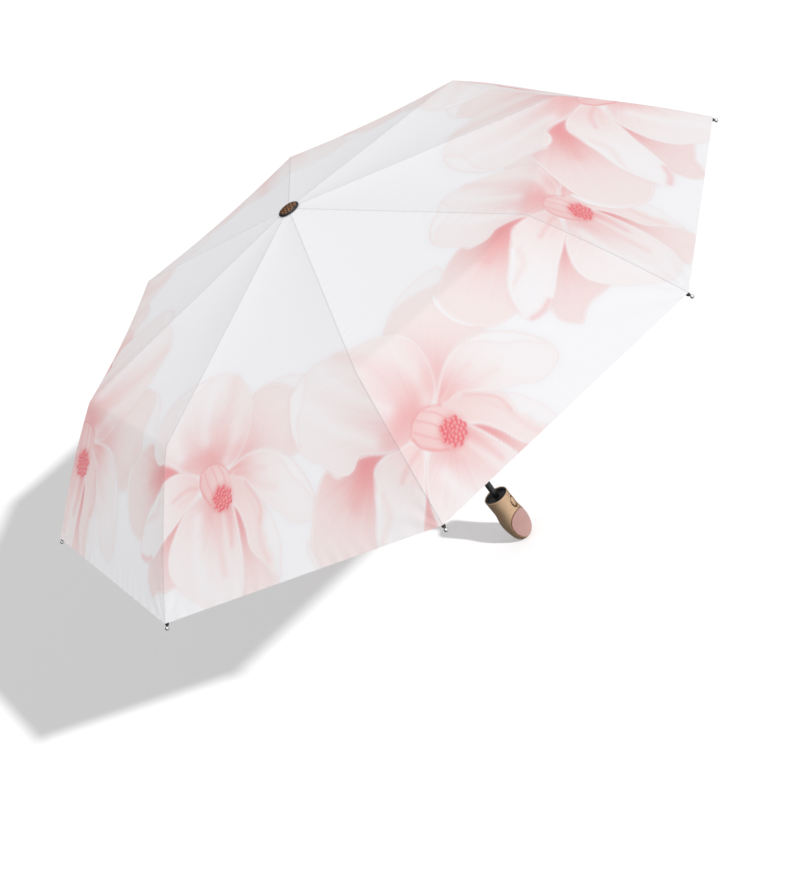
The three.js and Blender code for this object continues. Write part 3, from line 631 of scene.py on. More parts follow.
def cloth_piece(name, arm, body, start, end, low, high, pitch, thickness, finish, print_strength):
    """A piece of cloth between two arc lengths and two shares of the gore: the surface, moved out and in by
    half a thickness along its normals, and closed round its border."""
    widest = 2 * math.sin(SECTOR / 2) * rib_line(np.array([end]))[0][0]
    rows = int((end - start) / pitch) + 2
    columns = max(int(widest * (high - low) / pitch) + 1, 12)
    columns += columns % 2 == 0
    s, v = np.meshgrid(np.linspace(start, end, rows), np.linspace(low, high, columns), indexing="ij")
    points, across = cloth_surface(s, v)
    along, over = np.gradient(points, axis=0), np.gradient(points, axis=1)
    normal = np.cross(along, over)
    normal /= np.linalg.norm(normal, axis=-1, keepdims=True)
    cell = points[:-1, :-1], points[1:, :-1], points[1:, 1:], points[:-1, 1:]
    area = 0.5 * np.linalg.norm(np.cross(cell[2] - cell[0], cell[3] - cell[1]), axis=-1).sum()
    turn = arm * SECTOR
    spin = np.array([[math.cos(turn), -math.sin(turn), 0], [math.sin(turn), math.cos(turn), 0], [0, 0, 1]])
    layers = np.stack([points + normal * thickness / 2, points - normal * thickness / 2]) @ spin.T
    outer = grid_faces(rows, columns)[:, ::-1]
    count = rows * columns
    rim = np.concatenate([np.arange(columns), np.arange(1, rows) * columns + columns - 1,
                          (rows - 1) * columns + np.arange(columns - 2, -1, -1),
                          np.arange(rows - 2, 0, -1) * columns])
    following = np.roll(rim, -1)
    faces = np.concatenate([outer, outer[:, ::-1] + count,
                            np.stack([rim, following, following + count, rim + count], -1)])
    piece = new_piece(name, layers, faces, finish, body, smooth_angle=60)
    mesh = piece.data
    azimuth = turn + np.arctan2(points[..., 1], points[..., 0]).ravel()
    inked = print_colours(azimuth, s.ravel())
    taken = (1 - inked) * print_strength * (1, 1, 0.96)
    inked = 1 - taken * (0.45 + taken)  # pale tints print weaker than deep ones
    inked = np.concatenate([inked, 1 + (inked - 1) * SHOW_THROUGH])
    linear = np.where(inked <= 0.04045, inked / 12.92, ((inked + 0.055) / 1.055) ** 2.4)
    colours = mesh.attributes.new("print", "FLOAT_COLOR", "POINT")
    colours.data.foreach_set("color", np.concatenate([linear, np.ones((2 * count, 1))], 1).ravel())
    corner = np.zeros(len(mesh.loops), np.int32)
    mesh.loops.foreach_get("vertex_index", corner)
    flat = np.stack([(across * np.sign(v)).ravel(), s.ravel()], 1)[corner % count]
    mesh.uv_layers.new(name="lay_of_cloth").data.foreach_set("uv", flat.ravel())
    return piece, (widest * (high - low), end - start), area


STITCH = 3 * MM  # from one stitch to the next
STITCH_SHOWING = -0.35  # the sine above which a stitch shows: more than half of its length
SEAM_ROW = 1.9  # each row of seam stitches lies this far beside the rib (mm)
HEM_ROW = 5  # the hem's stitches lie this far inside the edge (mm)
THREAD = 0.5  # half width of a thread's line (mm)


def printed_cloth(colour, weave_mm):
    """Pongee, a plain-woven polyester, printed by heat transfer: matt with a faint sheen. The threads are a
    tenth of a millimetre apart, drawn coarser here so that they show. Seams are two rows of stitches and a
    sunk line over each rib, with painted shade darkening that line; the hem is turned under and stitched
    once."""
    made, tree, principled = material("printed_polyester_pongee", Roughness=0.62, Sheen_Weight=0.2,
                                      Sheen_Roughness=0.4, Specular_IOR_Level=0.35)
    ink = add_node(tree, "ShaderNodeAttribute", attribute_name="print").outputs["Color"]
    lay_of_cloth = add_node(tree, "ShaderNodeUVMap", uv_map="lay_of_cloth").outputs[0]
    parts = add_node(tree, "ShaderNodeSeparateXYZ", {0: lay_of_cloth}).outputs
    across, along = parts[0], parts[1]
    threads = 2 * math.pi / (weave_mm * MM)
    warp = math_node(tree, "SINE", math_node(tree, "MULTIPLY", across, threads))
    weft = math_node(tree, "SINE", math_node(tree, "MULTIPLY", along, threads))
    weave = math_node(tree, "MULTIPLY", warp, weft)
    slub = grain(tree, 3.5).outputs[0]
    wander = grain(tree, 70, detail=2).outputs[0]
    beside = math_node(tree, "ABSOLUTE", across)

    def line(distance, at, half_width):
        """1 on the line and 0 away from it, falling straight."""
        off = math_node(tree, "ABSOLUTE", math_node(tree, "SUBTRACT", distance, at * MM))
        fall = math_node(tree, "SUBTRACT", 1.0, math_node(tree, "MULTIPLY", off, 1 / (half_width * MM)))
        return math_node(tree, "MAXIMUM", fall, 0.0)

    def stitches(way):
        """1 on a stitch and 0 between two, along the given way."""
        beat = math_node(tree, "SINE", math_node(tree, "MULTIPLY", way, 2 * math.pi / STITCH))
        return math_node(tree, "GREATER_THAN", beat, STITCH_SHOWING)

    seam_thread = math_node(tree, "MULTIPLY", line(beside, SEAM_ROW, THREAD), stitches(along))
    # the sunk line over each rib: sunk by the bump below, and darkened in the colour as painted shade
    sunk = line(beside, 0, 1.0)
    hem_thread = math_node(tree, "MULTIPLY", line(along, HEM / MM - HEM_ROW, THREAD), stitches(across))
    thread = math_node(tree, "MAXIMUM", seam_thread, hem_thread)
    base = mix_colour(tree, 1.0, ink, (*colour, 1), "MULTIPLY")
    base = mix_colour(tree, math_node(tree, "MULTIPLY", slub, 0.035), base, (*srgb("#B9B4B8"), 1))
    base = mix_colour(tree, math_node(tree, "MULTIPLY", wander, 0.03), base, (*srgb("#FFFFFF"), 1))
    # painted shade: the sunk seam line over each rib is mixed towards grey
    base = mix_colour(tree, math_node(tree, "MULTIPLY", sunk, 0.5), base, (*srgb("#A39D9E"), 1))
    base = mix_colour(tree, math_node(tree, "MULTIPLY", thread, 0.3), base, (*srgb("#DDD3D2"), 1))
    tree.links.new(base, principled.inputs["Base Color"])
    height = math_node(tree, "MULTIPLY", weave, 0.25)
    height = math_node(tree, "ADD", height, math_node(tree, "MULTIPLY", slub, 0.5))
    height = math_node(tree, "ADD", height, math_node(tree, "MULTIPLY", thread, 1.2))
    height = math_node(tree, "SUBTRACT", height, math_node(tree, "MULTIPLY", sunk, 2.4))
    set_bump(tree, principled, height, 0.35, 0.12)
    return made


class UmbrellaCanopy(bpy.types.PropertyGroup):
    cloth_colour: FloatVectorProperty(
        name="Cloth colour", description="Undyed cloth under the print", subtype="COLOR", size=3,
        min=0, max=1, default=srgb("#E2E2E4"))
    print_strength: FloatProperty(
        name="Print strength", description="How strong the flowers are printed", subtype="FACTOR",
        min=0, max=1.5, default=0.85)
    thickness: FloatProperty(
        name="Cloth thickness", description="Thickness of the cloth", subtype="DISTANCE", unit="LENGTH",
        min=0.0001, max=0.001, default=0.0003)
    weave: FloatProperty(
        name="Weave", description="Thread spacing as drawn, in millimetres", min=0.2, max=3, default=0.9)


class UMBRELLA_OT_canopy(bpy.types.Operator):
    """Lay eight gores of printed cloth over the ribs"""
    bl_idname = "umbrella.canopy"
    bl_label = "Canopy"

    def execute(self, context):
        sizes = context.scene.umbrella_canopy
        finish = printed_cloth(tuple(sizes.cloth_colour), sizes.weave)
        pitch = 1.7 * MM
        for arm in range(ARMS):
            bands = [("inner", f"inner_rib_{arm}", 9 * MM, INNER_END, -0.5, 0.5, max(pitch, 3 * MM)),
                     ("middle", f"middle_rib_{arm}", INNER_END, TOP_END, -0.5, 0.5, pitch),
                     ("skirt_right", f"outer_rib_{arm}", TOP_END, HEM, -0.5, 0, pitch),
                     ("skirt_left", f"outer_rib_{arm}", TOP_END, HEM, 0, 0.5, pitch)]
            for label, body, start, end, low, high, step in bands:
                cloth, flat, area = cloth_piece(
                    f"cloth_{label}_{arm}", arm, body, start, end, low, high, step, sizes.thickness,
                    finish, sizes.print_strength)
                area = min(area, flat[0] * flat[1])
                if label in ("inner", "skirt_left"):
                    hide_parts(f"canopy_gore_{arm}")
                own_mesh(cloth)
        return {"FINISHED"}


# ---- handle --------------------------------------------------------------------------------------

HANDLE_TURN = -SECTOR / 2  # the button faces the middle of the gore beside the first rib
# drop below the rim, radius, how far the ring is shifted towards the button (mm)
HANDLE_RINGS = [(0, 17, 0), (10, 16.7, 0.3), (20, 16.6, 0.8), (27, 16.8, 1.05), (34, 17.8, 1.2),
                (41, 18.7, 1.4), (48, 18.7, 1.7), (54, 17.9, 1.95), (60, 16.7, 2), (66, 14.9, 1.8),
                (71, 12.1, 1.4), (74.4, 9.2, 0.9), (76, 6.6, 0.5)]
HANDLE_LEAN = 1.5 * MM  # how far the middle of the grip sits towards the button
PAD_CENTRE_Z = -14 * MM
PAD_HALF_HEIGHT = 23 * MM
PAD_TURN = math.radians(-27)  # the thumb's pad sits to one side of the button
PAD_SPREAD = math.radians(61)  # how far round the handle the pad reaches on each side
PAD_SQUARENESS = 2.2  # 2 would be an oval, more fills out its corners
PAD_THICKNESS = 1.6 * MM
PAD_RECESS = 1.9 * MM
PAD_CROWN = 0.35 * MM
PAD_SCALE = 18 * MM  # turns a share of the pad's outline into a distance
PAD_HEART = np.array([1.5, 0, -13]) * MM  # a point inside the handle that sees all of the pad
BUTTON_Z = 20 * MM
BUTTON_HALF = (5.2 * MM, 7.4 * MM)
BUTTON_BALL_R = 14 * MM
BUTTON_FACE_X = 18.6 * MM
BUTTON_FOOT_X = 12.4 * MM
POCKET_FLOOR_X = 9.8 * MM
LINER_R = 15.7 * MM
TUBE_BORE_R = 4.55 * MM
RECESS_Z = 31 * MM  # floor of the liner's recess
BORE_FOOT_Z = -12.3 * MM


def faced(points):
    """Turns points drawn with the button along +X to the way the button faces."""
    c, d = math.cos(HANDLE_TURN), math.sin(HANDLE_TURN)
    return points @ np.array([[c, d, 0], [-d, c, 0], [0, 0, 1]])


def handle_ring(z):
    """Radius and forward shift of the handle at a height, from a smooth curve through its rings."""
    curve = smooth_loop(HANDLE_RINGS, closed=False, steps=12) * MM
    drop = RIM_Z - z
    return np.interp(drop, curve[:, 0], curve[:, 1]), np.interp(drop, curve[:, 0], curve[:, 2])


def handle_reach(directions):
    """Distance from PAD_HEART to the handle's outside along each direction, by halving."""
    low, high = np.zeros(directions.shape[:-1]), np.full(directions.shape[:-1], 60 * MM)
    for _ in range(34):
        middle = (low + high) / 2
        p = PAD_HEART + directions * middle[..., None]
        radius, shift = handle_ring(np.clip(p[..., 2], RIM_Z - HANDLE_LENGTH, RIM_Z))
        inside = (np.hypot(p[..., 0] - shift, p[..., 1]) < radius) & (p[..., 2] > RIM_Z - HANDLE_LENGTH)
        low, high = np.where(inside, middle, low), np.where(inside, high, middle)
    return low


def pad_edge(p):
    """Below 0 inside the pad's outline and above 0 outside: a squarish oval in the angle round the handle
    and the height."""
    around = np.arctan2(p[..., 1], p[..., 0] - HANDLE_LEAN) - PAD_TURN
    wide, high = np.abs(around) / PAD_SPREAD, np.abs(p[..., 2] - PAD_CENTRE_Z) / PAD_HALF_HEIGHT
    return (wide ** PAD_SQUARENESS + high ** PAD_SQUARENESS) ** (1 / PAD_SQUARENESS) - 1


def button_edge(p, margin):
    """Below 0 inside the button's oval grown by a margin, above 0 outside it and behind the handle."""
    wide, high = (half + margin for half in BUTTON_HALF)
    oval = np.hypot(p[..., 1] / wide, (p[..., 2] - BUTTON_Z) / high) - 1
    return np.where(p[..., 0] > 0, oval, 9)


def cone_directions(spread, angle):
    """Unit vectors at an angle from the way the pad faces, turned about it."""
    ahead, aside = np.cos(spread), np.sin(spread) * np.cos(angle)
    c, d = math.cos(PAD_TURN), math.sin(PAD_TURN)
    return np.stack([ahead * c - aside * d, ahead * d + aside * c, np.sin(spread) * np.sin(angle)], -1)


def handle_shell(lacquer):
    """A closed profile from the foot up the outside, over the rim, down into the liner's recess and the
    tube's bore, swept round the axis. Its outside sinks 1.9 mm under the pad and to a flat floor under the
    button, each behind a short smooth wall, with a low raised lip round the button's pocket."""
    # rings and sides stand closer together round the button
    outside = np.unique(np.concatenate([np.linspace(0, 1, 150), np.linspace(0.63, 0.9, 90)]))
    z = RIM_Z - HANDLE_LENGTH + outside * (HANDLE_LENGTH - 0.8 * MM)
    radius, shift = handle_ring(z)
    rim = np.concatenate([np.array([(16.9, 37.6), (16.6, 37.9), (16.2, 38), (15.9, 37.9), (15.7, 37.6)]) * MM,
                          [(LINER_R, RECESS_Z), (TUBE_BORE_R, RECESS_Z), (TUBE_BORE_R, BORE_FOOT_Z)]])
    foot_r = np.array([0.6, 3.4, 5.9]) * MM
    foot_z = RIM_Z - HANDLE_LENGTH
    foot_shift = HANDLE_RINGS[-1][2] * MM
    r = np.concatenate([foot_r, radius, rim[:, 0], [0.3 * MM]])
    height = np.concatenate([np.full(3, foot_z), z, rim[:, 1], [BORE_FOOT_Z]])
    shifted = np.concatenate([np.full(3, foot_shift), shift, np.zeros(len(rim) + 1)])
    skin = np.concatenate([np.ones(3 + len(z)), np.zeros(len(rim) + 1)])[:, None]
    sides = 240
    even = np.arange(sides) * 2 * math.pi / sides
    angle = even - 0.5 * np.sin(even)
    p = np.stack([shifted[:, None] + np.outer(r, np.cos(angle)), np.outer(r, np.sin(angle)),
                  np.repeat(height[:, None], sides, 1)], -1)
    out = p - np.array([HANDLE_LEAN, 0, 0])
    out[..., 2] = np.where(p[..., 2] < -26 * MM, p[..., 2] + 26 * MM, 0)
    out /= np.linalg.norm(out, axis=-1, keepdims=True)
    under_pad = smoothstep(0.7 * MM, 0.15 * MM, pad_edge(p) * PAD_SCALE) * skin
    p = p - out * (PAD_RECESS * under_pad)[..., None]
    lip = button_edge(p, 1.3 * MM)
    p = p + out * (0.35 * MM * np.exp(-((lip - 0.12) / 0.07) ** 2) * skin)[..., None]
    pocket = smoothstep(0.08, 0.0, lip) * skin
    p[..., 0] += (np.minimum(POCKET_FLOOR_X, p[..., 0]) - p[..., 0]) * pocket
    points = np.concatenate([p.reshape(-1, 3), [[foot_shift, 0, foot_z], [0, 0, BORE_FOOT_Z]]])
    return new_piece("handle_skin", faced(points), closed_faces(len(r), sides), lacquer, "handle", 38)


def handle_pad(rubber):
    """A crowned slab on the handle's own surface: rays from inside the handle, spread out to the
    pad's outline (found by halving), with a rolled edge, 1.6 mm thick."""
    sides = 180
    angle = np.arange(sides) * 2 * math.pi / sides
    low, high = np.zeros(len(angle)), np.full(len(angle), math.radians(150))
    for _ in range(34):
        middle = (low + high) / 2
        rays = cone_directions(middle, angle)
        inside = pad_edge(PAD_HEART + rays * handle_reach(rays)[:, None]) < 0
        low, high = np.where(inside, middle, low), np.where(inside, high, middle)
    share = 1 - (1 - np.linspace(0, 1, 46)[1:]) ** 1.5
    rays = cone_directions(np.outer(share, low), angle[None])
    reach = handle_reach(rays)
    rolled = 0.9 * MM * (1 - np.sqrt(1 - np.clip((share - 0.95) / 0.05, 0, 1) ** 2))
    crown = PAD_CROWN * (1 - share ** 4)
    outer = PAD_HEART + rays * (reach + (crown - rolled)[:, None])[..., None]
    inner = PAD_HEART + rays[::-1] * (reach[::-1] - PAD_THICKNESS)[..., None]
    rings = np.concatenate([outer, inner])
    tips = cone_directions(0.0, 0.0)
    middle = handle_reach(tips[None])[0]
    points = np.concatenate([rings.reshape(-1, 3), [PAD_HEART + tips * (middle + PAD_CROWN),
                                                    PAD_HEART + tips * (middle - PAD_THICKNESS)]])
    faces = closed_faces(len(rings), sides, flipped=True)
    return new_piece("grip_pad_skin", faced(points), faces, rubber, "handle", 50)


def button_body(lacquer):
    """An oval dome: rings of growing size on a ball of 14 mm radius, a rolled shoulder and a straight skirt
    into the pocket."""
    share = np.sin(np.linspace(0, 1, 26)[1:] * math.pi / 2)
    sides = 96
    angle = np.arange(sides) * 2 * math.pi / sides
    y = np.outer(share, np.cos(angle)) * BUTTON_HALF[0]
    z = np.outer(share, np.sin(angle)) * BUTTON_HALF[1]
    face = BUTTON_FACE_X - BUTTON_BALL_R + np.sqrt(BUTTON_BALL_R ** 2 - y ** 2 - z ** 2)
    rolled = 0.9 * MM * (1 - np.sqrt(1 - np.clip((share - 0.86) / 0.14, 0, 1) ** 2))
    dome = np.stack([face - rolled[:, None], y, z + BUTTON_Z], -1)
    foot = np.repeat(dome[-1:], 3, 0)
    foot[0, :, 0] -= 1.0 * MM
    foot[1:, :, 0] = BUTTON_FOOT_X
    foot[2, :, 1] *= 0.4
    foot[2, :, 2] = BUTTON_Z + (foot[2, :, 2] - BUTTON_Z) * 0.4
    rings = np.concatenate([dome, foot])
    ends = [[BUTTON_FACE_X, 0, BUTTON_Z], [BUTTON_FOOT_X, 0, BUTTON_Z]]
    points = np.concatenate([rings.reshape(-1, 3), ends])
    faces = closed_faces(len(rings), sides, flipped=True)
    return new_piece("push_button_cap", faced(points), faces, lacquer, "button", 50)


class UmbrellaHandle(bpy.types.PropertyGroup):
    lacquer_colour: FloatVectorProperty(
        name="Lacquer", description="Metallic lacquer on the handle", subtype="COLOR", size=3,
        min=0, max=1, default=srgb("#D2AD88"))
    pad_colour: FloatVectorProperty(
        name="Grip pad", description="Soft rubber pad", subtype="COLOR", size=3,
        min=0, max=1, default=srgb("#CFA29B"))


class UMBRELLA_OT_handle(bpy.types.Operator):
    """Shape the handle's shell, its rubber pad, the push button and the black liner"""
    bl_idname = "umbrella.handle"
    bl_label = "Handle"

    def execute(self, context):
        sizes = context.scene.umbrella_handle
        lacquer = champagne_lacquer(tuple(sizes.lacquer_colour))
        shell = handle_shell(lacquer)
        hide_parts("handle_shell")
        button = button_body(lacquer)
        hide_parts("push_button")
        pad = handle_pad(soft_rubber(tuple(sizes.pad_colour)))
        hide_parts("grip_pad")
        liner = ring_body("handle_collar", [
            (4.6, 31.3), (15.1, 31.3), (15.4, 31.6), (15.4, 36.9), (15.1, 37.2), (14.5, 37.2), (14.2, 37),
            (13.1, 33.8), (12.8, 33.6), (11.4, 33.6), (11.2, 34), (10.6, 34), (10.4, 33.6), (7.7, 33.6),
            (7.3, 33.8), (6.8, 35.2), (6.5, 35.4), (4.8, 35.4), (4.6, 35.2)],
            moulded_plastic("black_abs_collar", 0.34), "handle")
        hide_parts("handle_liner")
        return {"FINISHED"}


# ---- shaft and fittings --------------------------------------------------------------------------


def cap_disc(name, plastic, body):
    """A low dome on a post: a profile turned round the axis, its rim fluted by a cosine wave, with shallow
    waves sunk in its top."""
    profile = np.array([(3.2, -8), (3.2, -1.6), (13.2, -3.7), (13.9, -3.3), (14, -2.7), (13.8, -2.1),
                        (13.2, -1.6), (12.2, -1.0), (11, -0.5), (9.6, -0.1), (8, 0.35), (6.4, 0.65),
                        (4.8, 0.9), (3.2, 1.05), (1.6, 1.17), (0.4, 1.2)])
    steps = np.concatenate([profile[:2], smooth_loop(profile[2:], closed=False, steps=5)]) * MM
    sides = 192
    angle = np.arange(sides) * 2 * math.pi / sides
    at_rim = smoothstep(12.4 * MM, 13.6 * MM, steps[:, 0])
    flute = 1 - 0.028 * np.outer(at_rim, 0.5 + 0.5 * np.cos(24 * angle))
    r = steps[:, :1] * flute
    x, y = r * np.cos(angle), r * np.sin(angle)
    on_top = smoothstep(-2.2 * MM, -1.4 * MM, steps[:, 1:]) * smoothstep(12.6 * MM, 11.6 * MM, r)
    waves = np.sin(2 * math.pi * (x / MM + WAVE_SWAY * np.sin(y / MM * WAVE_SWAY)) / WAVE_PITCH)
    z = PEAK_Z + steps[:, 1:] - 0.12 * MM * (1 + waves) * on_top
    ends = [[0, 0, PEAK_Z - 8 * MM], [0, 0, PEAK_Z + 1.1 * MM]]
    points = np.concatenate([np.stack([x, y, z], -1).reshape(-1, 3), ends])
    return new_piece(name, points, closed_faces(len(steps), sides), plastic, body, 32)


def smooth_tube(name, node, outer_mm, body, paint):
    """A drawn tube with rolled ends, over the height of its CAD node."""
    low, high = (corner[2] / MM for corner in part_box(node))
    inner = outer_mm - 0.6
    tube = ring_body(name, [
        (inner, low + 0.15), (inner + 0.15, low), (outer_mm - 0.2, low), (outer_mm, low + 0.2),
        (outer_mm, high - 0.3), (outer_mm - 0.3, high), (inner + 0.1, high), (inner, high - 0.1)],
        paint, body, sides=64)
    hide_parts(node)
    return tube


def rib_end(arm, bead, nickel):
    """A dark socket on the rod's end and a plated ball beyond it, each a profile turned about the rod."""
    turn = SKIRT_BEND
    radius = OUTER_RIB / SKIRT_BEND
    x, z = radius * math.sin(turn), PIVOT_OFFSET - radius * (1 - math.cos(turn))
    c, d = math.cos(SKIRT_SLOPE), math.sin(SKIRT_SLOPE)
    slope = SKIRT_SLOPE + turn
    out, up = KNEE_PIVOT + np.array([c * x + d * z, -d * x + c * z])
    place = (Matrix.Rotation(arm * SECTOR, 4, "Z") @ Matrix.Translation((out, 0, up))
             @ Matrix.Rotation(slope + math.pi / 2, 4, "Y"))
    socket = turned(f"tip_socket_{arm}", [
        (0, -7), (1.75, -7), (2, -6.7), (2, -1.2), (2.2, -0.8), (2.35, 0), (2.35, 0.7), (2.15, 1.2),
        (1.65, 2), (1.35, 2.9), (0, 3)], bead, f"outer_rib_{arm}", place, sides=32)
    arc = np.radians(np.linspace(-62, 89, 16))
    sphere = zip(2.4 * np.cos(arc), 5.4 + 2.4 * np.sin(arc))
    ball = turned(f"tip_ball_{arm}", [(0, 2.7), (1.0, 2.7), (1.05, 3.2), *sphere, (0, 7.8)],
                  nickel, f"outer_rib_{arm}", place, sides=32)
    for piece in (socket, ball):
        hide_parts(f"rib_tip_{arm}")


class UmbrellaFittings(bpy.types.PropertyGroup):
    steel_colour: FloatVectorProperty(
        name="Rib colour", description="Coating of the ribs", subtype="COLOR", size=3,
        min=0, max=1, default=srgb("#2C2C30"))
    gilt_colour: FloatVectorProperty(
        name="Gilt colour", description="Bronze lines on the cap", subtype="COLOR", size=3,
        min=0, max=1, default=srgb("#C98B58"))


class UMBRELLA_OT_fittings(bpy.types.Operator):
    """Make the cap, tubes and rib tips, and finish the ribs, hub and runner"""
    bl_idname = "umbrella.fittings"
    bl_label = "Shaft and fittings"

    def execute(self, context):
        sizes = context.scene.umbrella_fittings
        nodes = frame["nodes"]
        paint = plain_finish("black_baked_enamel", "#161617", "#1D1D1F", 0.3, 0.08, 1.2, bump=0.1,
                             Metallic=0.2, Coat_Weight=0.3, Coat_Roughness=0.15)
        smooth_tube("lower_shaft_tube", "shaft_lower_tube", 4.25, "handle", paint)
        smooth_tube("middle_shaft_tube", "shaft_middle_tube", 5.15, "middle_tube", paint)
        smooth_tube("upper_shaft_tube", "shaft_upper_tube", 6.05, "upper_tube", paint)
        cap = cap_disc("cap_dome", gilt_plastic(tuple(sizes.gilt_colour)), "upper_tube")
        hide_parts("top_cap")
        plastic = moulded_plastic("black_nylon_hub", 0.42)
        steel = coated_steel(tuple(sizes.steel_colour))
        for name, node in nodes.items():
            if name in ("top_hub", "runner"):
                fill_slots(node, plastic)
            elif name.split("_")[0] in ("inner", "middle", "outer", "stretcher"):
                fill_slots(node, steel)
        bead = moulded_plastic("dark_nylon_tip", 0.4)
        nickel = plain_finish("bright_nickel_plate", "#D2D3D7", "#C2C3C9", 0.16, 0.05, 0.8, bump=0.06,
                              Metallic=1.0)
        for arm in range(ARMS):
            rib_end(arm, bead, nickel)
        return {"FINISHED"}


# ---- stage ---------------------------------------------------------------------------------------

FLOOR_REACH = 12.0
FLOOR_GAP = 2 * MM  # the floor lies this far under the handle's end
TOWARDS_WINDOW = (0.80, -0.50, 0.33)
FOCAL_LENGTH = 86.59  # mm
SENSOR_WIDTH = 36  # mm
CAMERA_AT = (0.30817, -2.36510, 1.42126)
CAMERA_RIGHT = (0.83580, -0.14491, -0.52956)
CAMERA_UP = (0.53169, 0.45415, 0.71488)
CAMERA_BACK = (0.13691, -0.87906, 0.45663)

class UmbrellaStage(bpy.types.PropertyGroup):
    floor_colour: FloatVectorProperty(
        name="Floor colour", description="Paper sweep under the umbrella", subtype="COLOR", size=3,
        min=0, max=1, default=srgb("#CFCFCF"))
    shadow_light: FloatProperty(
        name="Shadow light", description="Low light that casts the shadow on the floor",
        min=0, max=10, default=5.2)
    side_light: FloatProperty(
        name="Side light", description="Soft light from the front and right", min=0, max=10, default=0.5)
    top_light: FloatProperty(
        name="Top light", description="Soft light overhead", min=0, max=10, default=1.2)
    fill_light: FloatProperty(
        name="Fill light", description="Brightness of the room", min=0, max=3, default=0.63)


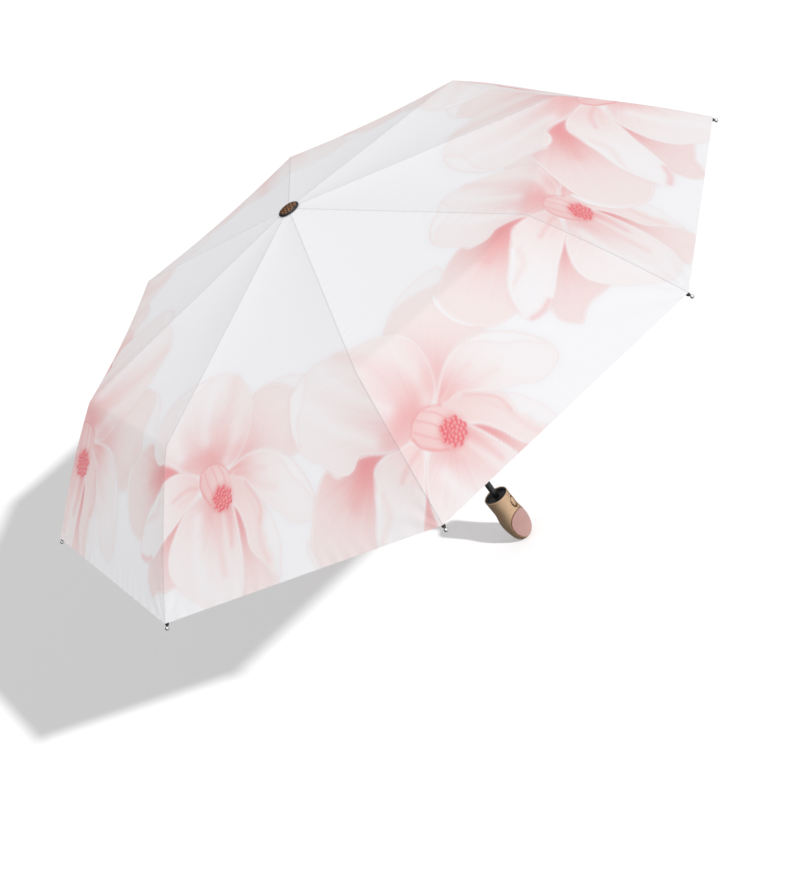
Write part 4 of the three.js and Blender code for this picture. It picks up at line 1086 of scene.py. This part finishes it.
class UMBRELLA_OT_stage(bpy.types.Operator):
    """Set up the floor, the lights and the camera"""
    bl_idname = "umbrella.stage"
    bl_label = "Stage"

    def execute(self, context):
        sizes = context.scene.umbrella_stage
        scene = context.scene
        paper, tree, principled = material("seamless_studio_paper", Roughness=0.9, Emission_Strength=0.2,
                                           Emission_Color=(1, 1, 1, 1), Specular_IOR_Level=0.1)
        tooth = grain(tree, 2).outputs[0]
        tree.links.new(mix_colour(tree, tooth, (*sizes.floor_colour, 1), (*srgb("#CCCCCC"), 1)),
                       principled.inputs["Base Color"])
        set_bump(tree, principled, tooth, 0.1, 0.1)
        mesh = bpy.data.meshes.new("floor")
        reach = FLOOR_REACH
        corners = [(-reach, -reach), (reach, -reach), (reach, reach), (-reach, reach)]
        mesh.from_pydata([(x, y, RIM_Z - HANDLE_LENGTH - FLOOR_GAP) for x, y in corners], [], [(0, 1, 2, 3)])
        mesh.materials.append(paper)
        floor = bpy.data.objects.new("floor", mesh)
        floor.visible_glossy = False  # gloss mirrors the room, not the paper
        scene.collection.objects.link(floor)

        only_floor, all_but_floor = (bpy.data.collections.new(name) for name in ("lit_floor", "unlit_floor"))
        for group, state in ((only_floor, "INCLUDE"), (all_but_floor, "EXCLUDE")):
            group.objects.link(floor)
            group.collection_objects[0].light_linking.link_state = state
        for name, energy, spread, azimuth, elevation, receivers in (
                ("floor_shadow_light", sizes.shadow_light, 1.6, 308, 26.4, only_floor),
                ("side_softbox", sizes.side_light, 30, 312, 38, all_but_floor),
                ("overhead_softbox", sizes.top_light, 60, 290, 74, all_but_floor)):
            light = bpy.data.lights.new(name, "SUN")
            light.energy, light.angle = energy, math.radians(spread)
            azimuth, elevation = math.radians(azimuth), math.radians(elevation)
            level = math.cos(elevation)
            towards = Vector((level * math.cos(azimuth), level * math.sin(azimuth), math.sin(elevation)))
            lamp = bpy.data.objects.new(name, light)
            lamp.rotation_euler = towards.to_track_quat("Z", "Y").to_euler()
            lamp.light_linking.receiver_collection = receivers
            scene.collection.objects.link(lamp)

        room = scene.world or bpy.data.worlds.new("room")
        scene.world = room
        room.use_nodes = True
        tree = room.node_tree
        # brighter towards the window side, darker away from it, falling evenly with the angle between
        towards = add_node(tree, "ShaderNodeTexCoord").outputs["Generated"]
        facing = add_node(tree, "ShaderNodeVectorMath", {0: towards, 1: TOWARDS_WINDOW},
                          operation="DOT_PRODUCT").outputs["Value"]
        evenly = add_node(tree, "ShaderNodeMapRange", {
            "Value": facing, "From Min": -1.0, "From Max": 1.0, "To Min": sizes.fill_light * 0.86,
            "To Max": sizes.fill_light * 1.14}).outputs[0]
        # what gloss mirrors: dark cards to the left and behind, a bright window to the right
        mirrored = add_node(tree, "ShaderNodeMapRange", {
            "Value": facing, "From Min": -0.5, "From Max": 0.75, "To Min": 0.1, "To Max": 1.15}).outputs[0]
        glossy = add_node(tree, "ShaderNodeLightPath").outputs["Is Glossy Ray"]
        level = add_node(tree, "ShaderNodeMix", {0: glossy, 2: evenly, 3: mirrored}).outputs[0]
        tree.nodes["Background"].inputs["Color"].default_value = (1, 1, 1, 1)
        tree.links.new(level, tree.nodes["Background"].inputs["Strength"])

        lens = bpy.data.cameras.new("camera")
        lens.lens = FOCAL_LENGTH
        lens.sensor_width = SENSOR_WIDTH
        lens.clip_end = 5 * FLOOR_REACH
        camera = bpy.data.objects.new("camera", lens)
        facing = Matrix([CAMERA_RIGHT, CAMERA_UP, CAMERA_BACK]).transposed().to_4x4()
        camera.matrix_world = Matrix.Translation(CAMERA_AT) @ facing
        scene.collection.objects.link(camera)
        scene.camera = camera
        scene.view_settings.view_transform = "Standard"
        return {"FINISHED"}


# ---- panel and start -----------------------------------------------------------------------------


class UMBRELLA_PT_panel(bpy.types.Panel):
    bl_idname = "UMBRELLA_PT_panel"
    bl_label = "Folding umbrella"
    bl_space_type = "VIEW_3D"
    bl_region_type = "UI"
    bl_category = "Umbrella"

    def draw(self, context):
        for settings, operators in PANEL_ROWS:
            box = self.layout.box()
            group = getattr(context.scene, settings)
            for name in group.__annotations__:
                box.prop(group, name)
            for operator in operators:
                box.operator(operator.bl_idname)


SETTINGS = {
    "umbrella_canopy": UmbrellaCanopy,
    "umbrella_handle": UmbrellaHandle,
    "umbrella_fittings": UmbrellaFittings,
    "umbrella_stage": UmbrellaStage,
}
PANEL_ROWS = [
    ("umbrella_canopy", [UMBRELLA_OT_canopy]),
    ("umbrella_handle", [UMBRELLA_OT_handle]),
    ("umbrella_fittings", [UMBRELLA_OT_fittings]),
    ("umbrella_stage", [UMBRELLA_OT_stage]),
]
CLASSES = [*SETTINGS.values(), *(operator for _, row in PANEL_ROWS for operator in row), UMBRELLA_PT_panel]


def register():
    for made in CLASSES:
        bpy.utils.register_class(made)
    for name, group in SETTINGS.items():
        setattr(bpy.types.Scene, name, PointerProperty(type=group))


def unregister():
    for name in SETTINGS:
        delattr(bpy.types.Scene, name)
    for made in reversed(CLASSES):
        bpy.utils.unregister_class(made)


def main():
    register()
    bpy.ops.umbrella.stage()
    bpy.ops.umbrella.canopy()
    bpy.ops.umbrella.handle()
    bpy.ops.umbrella.fittings()


if __name__ == "__main__":
    main()
